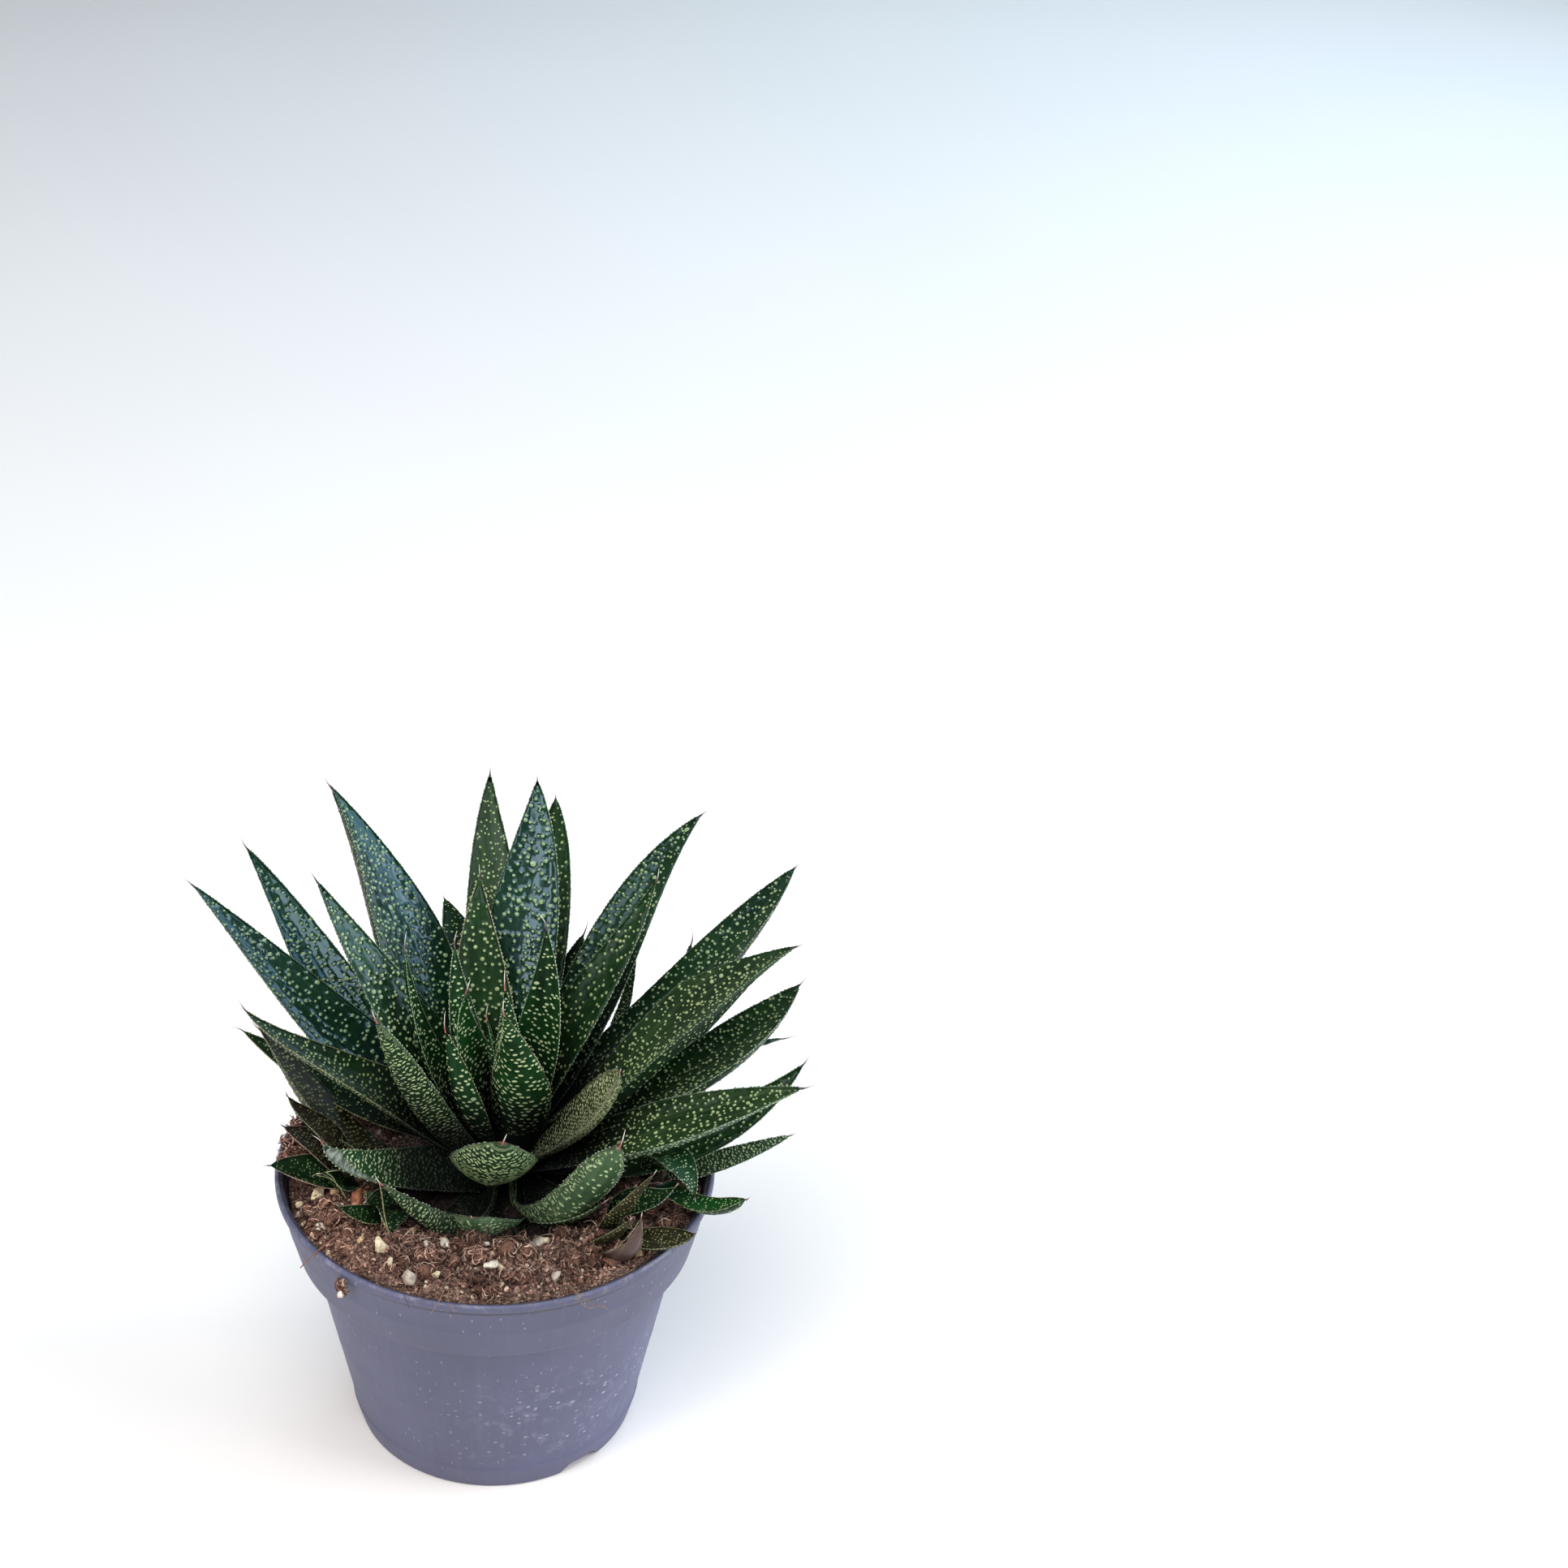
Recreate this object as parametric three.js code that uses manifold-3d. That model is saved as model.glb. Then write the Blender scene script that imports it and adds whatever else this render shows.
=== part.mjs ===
// Potted gasteria: a nursery pot, the soil in it, the buried stem with its
// runners, and every leaf of the rosette and of its four offsets.
// Millimetres, +Z up. The origin is the middle of the pot's underside.
import * as THREE from 'three';
import { mergeVertices } from 'three/addons/utils/BufferGeometryUtils.js';
import Module from 'manifold-3d';

// ---------------------------------------------------------------- dimensions
const POT_HEIGHT = 83.3;        // underside to top of the lip
const RIM_RADIUS = 60.0;        // outside of the lip
const BAND_HEIGHT = 22.2;       // tall rim band
const BAND_RADIUS = 54.8;       // outside of the band at its lower edge
const BODY_RADIUS = 50.9;       // outside of the body under the band
const FOOT_RADIUS = 39.2;       // outside of the body at the bottom
const WALL = 1.5;               // wall of body and band
const LIP = 2.4;                // wall of the rolled lip
const FLOOR_UNDER = 3.0;        // raised floor, height of its underside
const FLOOR_TOP = 4.6;          // top of the floor inside
const HUB_RADIUS = 13.0;        // flat middle disc that rests on the table
const FOOT_RING = 3.4;          // width of the foot ring
const DRAIN_COUNT = 8;
const DRAIN_RADIUS = 3.6;
const DRAIN_PITCH = 25.0;       // circle of the drain holes
const NOTCH_COUNT = 3;
const NOTCH_WIDTH = 14.4;       // at the table; the ends slope in
const NOTCH_TOP = 8.0;
const NOTCH_HEIGHT = 3.4;
const NOTCH_ANGLE = -53.5;      // degrees, the one in the photo
const GAP = 0.3;                // air between neighbouring pieces
const SOIL_LEVEL = 80.6;        // mean height of the soil
const STEM_RADIUS = 4.2;
const STEM_TOP = 90.5;
const TIP_SPINE = 2.2;          // hard point beyond the blade of a leaf
const POT_SEGMENTS = 40;
const LEAF_SIDES = 6;
const LEAF_STEPS = 9;
const OFFSET_STEPS = 7;

// Each leaf: name, the four control points of its middle line (x y z each,
// base to tip), half width, width ratio at the base, place of the widest
// section (0 to 1), taper exponent, roll at the base and added roll at the tip
// in degrees, rise of the margins, thickness.
const LEAVES = [
  ['leaf_01', [3.34, -3.77, 89.76, 7.76, -4.11, 109.91, 6.37, -11.18, 126.36, 1.91, -16.8, 145.0], 8.56, 0.62, 0.423, 1.37, -10.8, -20.6, 0.18, 4.45],
  ['leaf_02', [2.51, 3.97, 90.04, 3.74, -2.83, 109.11, 3.91, -2.21, 124.8, 2.17, 0.03, 141.43], 5.04, 0.62, 0.332, 1.45, -1.4, -1.1, 0.18, 2.62],
  ['leaf_03', [1.0, 1.0, 93.0, 2.23, 3.11, 104.93, -0.26, -0.35, 117.87, -2.56, 2.23, 129.92], 4.59, 0.62, 0.346, 1.47, 14.5, -2.4, 0.18, 2.39],
  ['leaf_04', [-1.98, -0.39, 89.06, -7.45, -8.62, 107.79, -10.55, -4.46, 118.0, -13.48, -1.72, 128.89], 6.25, 0.62, 0.355, 1.53, 21.0, 18.1, 0.18, 3.25],
  ['leaf_05', [-1.66, 1.62, 90.47, -0.73, -0.31, 109.53, -12.5, 0.22, 123.91, -7.88, 0.82, 139.66], 7.42, 0.62, 0.458, 1.45, -25.9, -17.7, 0.18, 3.86],
  ['leaf_06', [-0.48, 3.14, 89.52, -6.22, 5.34, 107.94, -11.15, 6.01, 128.79, -11.21, 14.83, 145.5], 5.94, 0.62, 0.34, 1.53, -3.7, -3.7, 0.18, 3.09],
  ['leaf_07', [4.28, 3.28, 89.97, 10.3, 2.64, 111.89, 15.02, 5.95, 132.52, 13.17, 12.47, 152.39], 6.96, 0.62, 0.376, 1.64, 8.2, 7.5, 0.18, 3.62],
  ['leaf_08', [-1.49, 1.96, 88.0, -15.03, -1.44, 109.88, -22.13, 0.25, 126.26, -24.33, 13.76, 145.0], 6.28, 0.62, 0.335, 1.3, 5.4, 8.5, 0.18, 3.27],
  ['leaf_09', [-1.68, -1.57, 84.0, -17.02, -8.98, 98.76, -25.72, -3.84, 120.77, -31.29, -7.08, 136.09], 6.66, 0.62, 0.42, 1.83, 35.6, 17.4, 0.18, 3.46],
  ['leaf_10', [5.56, -1.83, 87.45, 18.67, -9.79, 98.92, 30.16, -13.37, 115.99, 31.75, -23.63, 131.22], 8.06, 0.62, 0.512, 1.57, 21.9, 21.0, 0.18, 4.19],
  ['leaf_11', [1.07, 3.89, 90.57, -3.18, 10.38, 114.49, -5.75, 16.33, 139.32, -4.56, 30.38, 157.18], 8.39, 0.62, 0.39, 1.67, -2.7, -1.6, 0.18, 4.36],
  ['leaf_12', [0.0, -4.0, 90.0, -2.0, -16.0, 92.5, -1.5, -25.5, 98.2, 1.7, -29.03, 113.0], 11.5, 0.62, 0.5, 3.8, -6.0, 0.0, 0.18, 4.6],
  ['leaf_13', [4.77, 2.89, 90.64, 14.3, 9.41, 116.37, 33.15, 17.06, 135.63, 43.47, 31.5, 154.95], 8.49, 0.62, 0.296, 1.64, -4.0, 8.7, 0.18, 4.42],
  ['leaf_14', [2.32, 3.99, 91.19, 0.41, 14.4, 122.16, 11.9, 27.46, 152.86, 11.05, 47.57, 177.38], 10.37, 0.62, 0.428, 2.02, -7.4, 6.0, 0.18, 5.39],
  ['leaf_15', [1.94, 4.0, 90.25, 3.53, 22.65, 118.99, -3.5, 41.6, 148.63, -1.78, 68.64, 167.26], 10.02, 0.62, 0.323, 1.65, 5.3, 1.3, 0.18, 5.21],
  ['leaf_16', [-0.84, 2.82, 89.31, -20.22, 15.34, 120.28, -24.92, 35.92, 147.67, -46.03, 62.11, 167.18], 12.82, 0.62, 0.542, 1.39, 1.3, 31.9, 0.18, 6.67],
  ['leaf_17', [-1.11, 2.51, 89.37, -19.74, 3.92, 116.6, -33.86, 7.45, 142.12, -47.73, 21.06, 162.3], 9.41, 0.62, 0.369, 1.41, -10.4, -2.4, 0.18, 4.89],
  ['leaf_18', [4.75, 2.9, 90.74, 27.13, 19.52, 114.11, 33.92, 41.47, 145.08, 58.25, 65.36, 155.58], 9.45, 0.62, 0.419, 1.66, -6.3, 7.4, 0.18, 4.91],
  ['leaf_19', [2.7, 3.94, 91.27, 4.62, 26.75, 115.25, 16.4, 48.54, 144.18, 16.85, 78.51, 153.07], 10.18, 0.62, 0.413, 1.78, -5.5, -5.0, 0.18, 5.29],
  ['leaf_20', [5.41, 2.09, 90.81, 37.9, 15.71, 106.57, 66.3, 26.73, 139.37, 83.77, 50.47, 146.95], 11.16, 0.62, 0.264, 2.34, -22.3, 18.0, 0.18, 5.8],
  ['leaf_21', [5.96, 0.55, 84.0, 35.49, -8.98, 112.81, 43.94, 6.68, 131.32, 81.98, 19.99, 140.82], 11.42, 0.62, 0.695, 1.08, -17.2, 11.9, 0.18, 5.94],
  ['leaf_22', [5.85, 1.08, 88.19, 38.48, -5.59, 101.52, 66.49, 9.38, 113.34, 84.61, 29.54, 121.47], 9.87, 0.62, 0.546, 2.1, -19.9, 19.5, 0.18, 5.13],
  ['leaf_23', [5.94, -0.72, 84.0, 31.55, -23.72, 106.32, 57.64, -14.34, 111.03, 81.63, -17.1, 120.37], 9.54, 0.62, 0.481, 1.48, -1.0, 14.2, 0.18, 4.96],
  ['leaf_24', [5.88, 0.97, 90.0, 29.65, 14.2, 96.48, 54.43, 17.06, 105.75, 81.04, 26.06, 105.3], 6.5, 0.62, 0.33, 1.45, 0.0, 0.0, 0.18, 3.38],
  ['leaf_25', [6.0, -0.01, 86.82, 35.39, -2.83, 87.02, 63.67, -3.92, 89.59, 85.53, 14.92, 104.98], 9.36, 0.62, 0.355, 1.53, 16.6, 12.6, 0.18, 4.87],
  ['leaf_26', [-1.49, 1.96, 88.29, -37.98, 17.46, 98.97, -49.99, 44.93, 125.41, -71.07, 72.59, 140.54], 9.88, 0.62, 0.321, 1.42, -8.8, -5.2, 0.18, 5.14],
  ['leaf_27', [-1.78, 1.31, 87.33, -35.18, 10.1, 102.89, -56.41, 26.18, 126.84, -83.3, 43.75, 146.56], 10.68, 0.62, 0.367, 1.37, -10.8, 11.7, 0.18, 5.56],
  ['leaf_28', [-1.96, 0.53, 84.0, -24.52, 3.3, 106.3, -58.06, -0.7, 122.76, -67.46, 13.26, 125.94], 9.45, 0.62, 0.245, 1.0, -7.3, 12.4, 0.18, 4.91],
  ['leaf_29', [-2.0, -0.15, 84.0, -39.25, -8.1, 75.25, -49.27, 19.58, 95.61, -66.56, 37.59, 102.28], 7.74, 0.62, 0.469, 1.8, 34.5, -21.3, 0.18, 4.02],
  ['leaf_30', [-1.48, 1.97, 88.79, -28.8, 13.46, 90.53, -51.8, 30.07, 89.86, -72.73, 52.6, 90.7], 7.15, 0.62, 0.364, 1.46, -13.9, -8.9, 0.18, 3.72],
  ['leaf_31', [-2.0, -4.0, 84.0, -12.71, -10.65, 90.23, -42.26, -14.17, 89.76, -46.43, -9.62, 98.15], 6.73, 0.62, 0.12, 1.73, -31.4, -16.9, 0.18, 4.17],
  ['leaf_32', [6.0, -6.0, 86.0, 3.81, -27.94, 74.31, 23.66, -29.51, 90.89, 32.29, -27.47, 110.0], 6.03, 0.62, 0.75, 2.6, -41.0, -14.4, 0.18, 3.74],
  ['leaf_33', [-1.0, -8.0, 85.0, -4.9, -30.81, 75.39, -16.88, -30.14, 86.61, -30.27, -28.2, 99.0], 5.19, 0.62, 0.423, 1.79, 32.9, 15.7, 0.18, 3.22],
  ['leaf_34', [0.0, -8.0, 82.5, -1.5, -20.0, 79.0, -3.2, -29.0, 83.5, -6.4, -34.5, 92.5], 10.5, 0.62, 0.55, 2.8, 1.5, 0.0, 0.18, 4.4],
  ['leaf_35', [5.0, -7.0, 83.0, 8.19, -20.33, 81.97, 19.69, -29.61, 86.44, 27.9, -29.01, 92.0], 7.22, 0.62, 0.33, 1.78, 8.1, 4.1, 0.18, 4.0],
  ['leaf_36', [2.0, -12.0, 82.5, 1.5, -20.0, 81.5, 0.8, -30.0, 81.0, -0.3, -36.0, 85.3], 6.6, 0.62, 0.6, 3.0, 0.0, 0.0, 0.16, 3.0],
  ['leaf_37', [1.18, 3.91, 90.78, -3.5, 29.51, 105.11, -7.9, 51.65, 117.55, -15.27, 77.95, 119.18], 9.23, 0.62, 0.394, 1.59, -4.7, -4.0, 0.18, 4.8],
  ['leaf_38', [4.0, 4.0, 86.0, 9.93, 15.38, 99.45, 17.79, 36.23, 115.43, 24.51, 43.48, 129.75], 8.0, 0.62, 0.33, 1.45, 0.0, 0.0, 0.18, 4.16],
  ['leaf_39', [5.0, 2.0, 86.0, 28.0, 26.0, 90.0, 50.0, 44.0, 97.0, 56.82, 65.79, 112.05], 5.4, 0.62, 0.33, 1.45, 0.0, 0.0, 0.18, 3.0],
  ['leaf_40', [6.0, 1.0, 86.0, 27.92, 10.29, 94.3, 48.13, 25.72, 99.74, 71.03, 48.71, 105.7], 8.0, 0.62, 0.33, 1.45, 0.0, 0.0, 0.18, 4.16],
  ['leaf_41', [5.0, 2.0, 86.0, 24.0, 18.0, 82.0, 36.5, 33.0, 100.0, 39.6, 50.0, 120.8], 2.7, 0.62, 0.45, 1.8, 10.0, 0.0, 0.4, 1.6],
  ['left_offset_leaf_1', [-41.0, -4.0, 85.0, -42.29, -0.33, 95.46, -52.98, 2.35, 96.73, -56.39, 4.99, 102.95], 5.0, 0.62, 0.353, 1.47, 17.5, -6.1, 0.18, 2.1],
  ['left_offset_leaf_2', [-41.0, -5.0, 84.0, -44.91, -2.11, 91.37, -54.11, 0.66, 93.42, -57.49, 3.15, 93.9], 5.55, 0.62, 0.265, 1.5, 3.9, -3.9, 0.18, 2.33],
  ['left_offset_leaf_3', [-40.0, -7.0, 84.0, -45.58, -6.75, 85.11, -56.84, -7.71, 88.89, -60.6, -8.11, 89.5], 6.18, 0.62, 0.278, 1.55, -6.9, -5.1, 0.18, 2.59],
  ['left_offset_leaf_4', [-38.0, -8.0, 84.0, -44.6, -12.27, 84.89, -42.68, -12.65, 90.14, -46.53, -12.55, 90.03], 3.81, 0.62, 0.281, 1.35, -11.4, -6.0, 0.18, 1.6],
  ['front_offset_leaf_1', [-28.0, -22.0, 84.0, -32.25, -23.06, 87.83, -30.88, -21.12, 95.0, -34.07, -30.31, 95.09], 4.05, 0.62, 0.331, 1.49, 27.1, 9.4, 0.18, 1.7],
  ['front_offset_leaf_2', [-30.0, -24.0, 84.0, -34.09, -23.98, 84.58, -39.4, -25.64, 86.85, -41.38, -26.11, 89.61], 3.29, 0.62, 0.32, 1.46, -8.6, -4.2, 0.18, 1.38],
  ['front_offset_leaf_3', [-29.0, -22.0, 85.0, -26.14, -26.02, 89.44, -29.14, -30.5, 86.93, -26.01, -31.38, 84.03], 4.32, 0.62, 0.327, 1.46, -20.7, -1.2, 0.18, 1.81],
  ['right_offset_leaf_1', [29.0, -30.0, 84.0, 30.76, -34.1, 90.4, 36.45, -33.78, 97.73, 40.74, -38.58, 109.26], 3.53, 0.62, 0.359, 1.31, -23.4, -5.6, 0.18, 1.48],
  ['right_offset_leaf_2', [30.0, -29.0, 84.0, 31.88, -24.53, 92.64, 41.4, -29.13, 88.66, 47.16, -28.94, 97.06], 4.73, 0.62, 0.446, 1.64, 2.2, 8.7, 0.18, 1.99],
  ['right_offset_leaf_3', [28.0, -33.0, 84.0, 28.96, -37.88, 87.74, 32.95, -40.91, 92.76, 34.43, -44.48, 98.84], 4.8, 0.62, 0.33, 1.45, 10.0, 0.0, 0.18, 2.02],
  ['right_offset_leaf_4', [32.0, -33.0, 84.0, 39.45, -37.9, 85.2, 49.83, -41.28, 88.71, 51.85, -40.76, 90.76], 4.69, 0.62, 0.415, 1.44, -8.0, 21.0, 0.18, 1.97],
  ['right_offset_leaf_5', [30.0, -38.0, 83.0, 33.07, -44.83, 85.1, 36.03, -46.46, 90.5, 37.33, -44.97, 100.0], 4.45, 0.62, 0.314, 1.32, -24.0, -14.2, 0.18, 1.87],
  ['far_right_offset_leaf_1', [44.0, -4.0, 84.0, 51.15, -9.11, 83.22, 72.96, -3.23, 90.02, 81.06, 1.71, 89.73], 3.77, 0.62, 0.295, 1.65, 16.3, 0.3, 0.18, 1.58],
  ['far_right_offset_leaf_2', [44.0, -7.0, 84.0, 41.5, -9.0, 95.0, 50.5, -12.5, 96.4, 53.3, -21.0, 86.6], 5.4, 0.62, 0.55, 1.7, -10.0, 0.0, 0.18, 1.9],
  ['far_right_offset_leaf_3', [45.0, -12.0, 84.5, 52.0, -24.0, 84.6, 60.0, -27.5, 86.6, 66.5, -28.0, 91.7], 4.6, 0.62, 0.68, 2.2, -10.0, 4.0, 0.18, 1.7],
];

// Offsets: where each short side stem comes up through the soil.
const OFFSET_STEMS = [
  [-40.5, -6.0, 86.0], [-29.0, -24.0, 86.0], [30.5, -32.0, 86.0], [44.5, -7.0, 86.5],
];

const wasm = await Module();
wasm.setup();

// ------------------------------------------------------------------- helpers
function toSolid(geometry) {
  const g = geometry.clone();
  g.deleteAttribute('normal');
  g.deleteAttribute('uv');
  const m = mergeVertices(g, 1e-4);
  const tri = Uint32Array.from(m.index.array);
  const pos = Float32Array.from(m.attributes.position.array);
  // a deformed primitive may have turned inside out: check the signed volume
  let v6 = 0;
  const p = (i) => new THREE.Vector3(pos[3 * i], pos[3 * i + 1], pos[3 * i + 2]);
  for (let i = 0; i < tri.length; i += 3) v6 += p(tri[i]).dot(p(tri[i + 1]).cross(p(tri[i + 2])));
  if (v6 < 0) for (let i = 0; i < tri.length; i += 3) { const t = tri[i]; tri[i] = tri[i + 1]; tri[i + 1] = t; }
  return new wasm.Manifold(new wasm.Mesh({ numProp: 3, vertProperties: pos, triVerts: tri }));
}

function toGeometry(solid) {
  const mesh = solid.getMesh();
  const g = new THREE.BufferGeometry();
  g.setAttribute('position', new THREE.BufferAttribute(Float32Array.from(mesh.vertProperties), 3));
  g.setIndex(new THREE.BufferAttribute(Uint32Array.from(mesh.triVerts), 1));
  g.computeVertexNormals();
  return g;
}

function largest(solid) {
  const bodies = solid.decompose();
  let best = bodies[0];
  for (const b of bodies) if (b.volume() > best.volume()) best = b;
  return best;
}

function lathe(profile, segments) {
  const g = new THREE.LatheGeometry(profile.map(([r, z]) => new THREE.Vector2(r, z)), segments);
  g.rotateX(Math.PI / 2);       // the lathe axis becomes Z
  return toSolid(g);
}

// ----------------------------------------------------------------------- pot
const bandBottom = POT_HEIGHT - BAND_HEIGHT;
const bodyOuter = (z) => FOOT_RADIUS + (BODY_RADIUS - FOOT_RADIUS) * z / bandBottom;
const bandOuter = (z) => BAND_RADIUS + (RIM_RADIUS - 0.4 - BAND_RADIUS) * (z - bandBottom) / BAND_HEIGHT;
const potInner = (z) => (z < bandBottom - 0.6 ? bodyOuter(z) - WALL
  : Math.min(bandOuter(Math.max(z, bandBottom)) - WALL, RIM_RADIUS - LIP));

const potProfile = [
  [0, 0], [HUB_RADIUS, 0], [HUB_RADIUS + 1.4, FLOOR_UNDER],
  [FOOT_RADIUS - FOOT_RING - 1.2, FLOOR_UNDER], [FOOT_RADIUS - FOOT_RING, 0],
  [FOOT_RADIUS - 0.5, 0], [FOOT_RADIUS, 0.6],
  [bodyOuter(7.2), 7.2], [bodyOuter(7.9) + 0.25, 7.9], [bodyOuter(9.2), 9.2],
  [bodyOuter(bandBottom - 0.8), bandBottom - 0.8], [BAND_RADIUS - 0.9, bandBottom],
  [BAND_RADIUS, bandBottom + 0.9],
  [bandOuter(POT_HEIGHT - 2.6), POT_HEIGHT - 2.6], [RIM_RADIUS, POT_HEIGHT - 1.9],
  [RIM_RADIUS, POT_HEIGHT - 0.7], [RIM_RADIUS - 0.7, POT_HEIGHT],
  [RIM_RADIUS - LIP + 0.4, POT_HEIGHT], [RIM_RADIUS - LIP, POT_HEIGHT - 0.6],
  [potInner(POT_HEIGHT - 3.0), POT_HEIGHT - 3.0],
  [potInner(bandBottom + 0.2), bandBottom + 0.2],
  [bodyOuter(bandBottom - 0.8) - WALL, bandBottom - 1.0],
  [potInner(FLOOR_TOP + 1.5), FLOOR_TOP + 1.5], [potInner(FLOOR_TOP) - 1.2, FLOOR_TOP],
  [0, FLOOR_TOP],
];
let pot = lathe(potProfile, POT_SEGMENTS);
for (let k = 0; k < DRAIN_COUNT; k++) {
  const a = (k + 0.5) * 2 * Math.PI / DRAIN_COUNT;
  const hole = new THREE.CylinderGeometry(DRAIN_RADIUS, DRAIN_RADIUS, 10, 8);
  hole.rotateX(Math.PI / 2);
  hole.translate(DRAIN_PITCH * Math.cos(a), DRAIN_PITCH * Math.sin(a), FLOOR_UNDER);
  pot = pot.subtract(toSolid(hole));
}
for (let k = 0; k < NOTCH_COUNT; k++) {
  const a = (NOTCH_ANGLE + k * 360 / NOTCH_COUNT) * Math.PI / 180;
  const low = NOTCH_WIDTH / 2 + (NOTCH_WIDTH - NOTCH_TOP) / 2 / NOTCH_HEIGHT * 2;
  const outline = new THREE.Shape([[-low, -2], [low, -2], [NOTCH_TOP / 2, NOTCH_HEIGHT], [-NOTCH_TOP / 2, NOTCH_HEIGHT]]
    .map(([u, v]) => new THREE.Vector2(u, v)));
  const notch = new THREE.ExtrudeGeometry(outline, { depth: 11, bevelEnabled: false });
  notch.rotateX(Math.PI / 2);   // the outline's height becomes Z, its depth -Y
  notch.rotateZ(Math.PI / 2);   // and the depth becomes +X
  notch.translate(FOOT_RADIUS - 5.2, 0, 0);
  notch.rotateZ(a);
  pot = pot.subtract(toSolid(notch));
}

// ---------------------------------------------------------------------- soil
function soilTop(x, y) {
  const r = Math.hypot(x, y);
  const a = Math.atan2(y, x);
  const front = Math.max(0, Math.cos(a + Math.PI / 2)) * Math.min(1, Math.max(0, (r - 22) / 22));
  const leftGap = Math.exp(-(((a < 0 ? a + 2 * Math.PI : a) - 3.45) ** 2) / 0.30) * Math.max(0, (r - 46) / 9);
  const rightGap = Math.exp(-((a + 0.42) ** 2) / 0.10) * Math.max(0, (r - 47) / 8);
  return SOIL_LEVEL + 2.6 * front - 4.2 * leftGap - 3.6 * rightGap
    + 0.7 * Math.sin(0.17 * x + 1.1) * Math.cos(0.15 * y) + 0.5 * Math.sin(0.31 * x - 0.23 * y);
}
function soilSolid(grow) {
  const rings = 6;
  const profile = [[0, FLOOR_TOP + GAP - grow]];
  const low = FLOOR_TOP + GAP + 1.6;
  const slack = GAP + 0.15;                          // both walls are polygons
  profile.push([potInner(FLOOR_TOP) - 2.0 + grow, FLOOR_TOP + GAP - grow], [potInner(low) - slack + grow, low]);
  const ledge = bodyOuter(bandBottom - 0.8) - WALL;  // the wall steps out here
  profile.push([ledge - slack + grow, bandBottom - 1.6], [ledge - slack + grow, bandBottom - 0.5]);
  profile.push([potInner(bandBottom + 0.2) - slack - 0.3 + grow, bandBottom + 0.9]);
  const edge = 56.4;
  profile.push([potInner(73.5) - slack + grow, 73.5]);
  for (let i = 0; i < rings; i++) profile.push([edge * (1 - (i + 0.15) / rings), 1000]);
  profile.push([0, 1000]);
  const g = new THREE.LatheGeometry(profile.map(([r, z]) => new THREE.Vector2(r, z)), 30);
  g.rotateX(Math.PI / 2);
  const p = g.attributes.position;
  for (let i = 0; i < p.count; i++) {
    if (p.getZ(i) > 500) p.setZ(i, soilTop(p.getX(i), p.getY(i)) + grow);
  }
  return toSolid(g);
}

// ---------------------------------------------------------------------- stem
// A short upright stem, thick roots under it and one runner to each offset.
function tube(points, radius, sides, steps) {
  const curve = new THREE.CatmullRomCurve3(points.map((q) => new THREE.Vector3(...q)));
  const shape = new THREE.Shape();
  for (let k = 0; k < sides; k++) {
    const a = (2 * Math.PI * k) / sides;
    const q = [radius * Math.cos(a), radius * Math.sin(a)];
    if (k === 0) shape.moveTo(...q); else shape.lineTo(...q);
  }
  shape.closePath();
  const g = new THREE.ExtrudeGeometry(shape, { steps, extrudePath: curve, bevelEnabled: false });
  return toSolid(g);
}
function stemSolid(grow) {
  let s = lathe([[0, 56 - grow], [3.2 + grow, 58 - grow], [6.2 + grow, 68], [6.2 + grow, 74],
    [STEM_RADIUS + grow, 80], [STEM_RADIUS + grow, STEM_TOP - 2], [2.2 + grow, STEM_TOP + grow], [0, STEM_TOP + grow]], 10);
  s = s.translate([2, 0, 0]);
  for (const [x, y, z] of OFFSET_STEMS) {
    const k = 0.55;
    s = s.add(tube([[2, 0, 69], [x * k, y * k, 68], [x * 0.92, y * 0.92, 72.5], [x, y, 78], [x, y, z + grow]],
      2.0 + grow, 6, 6));
  }
  for (const [a, r, z] of [[0.6, 24, 34], [2.5, 27, 28], [4.1, 22, 36], [5.3, 26, 26]]) {
    s = s.add(tube([[2, 0, 62], [2 + 0.4 * r * Math.cos(a), 0.4 * r * Math.sin(a), 55],
      [r * Math.cos(a), r * Math.sin(a), z]], 1.5 + grow, 5, 4));
  }
  return s;
}

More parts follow.
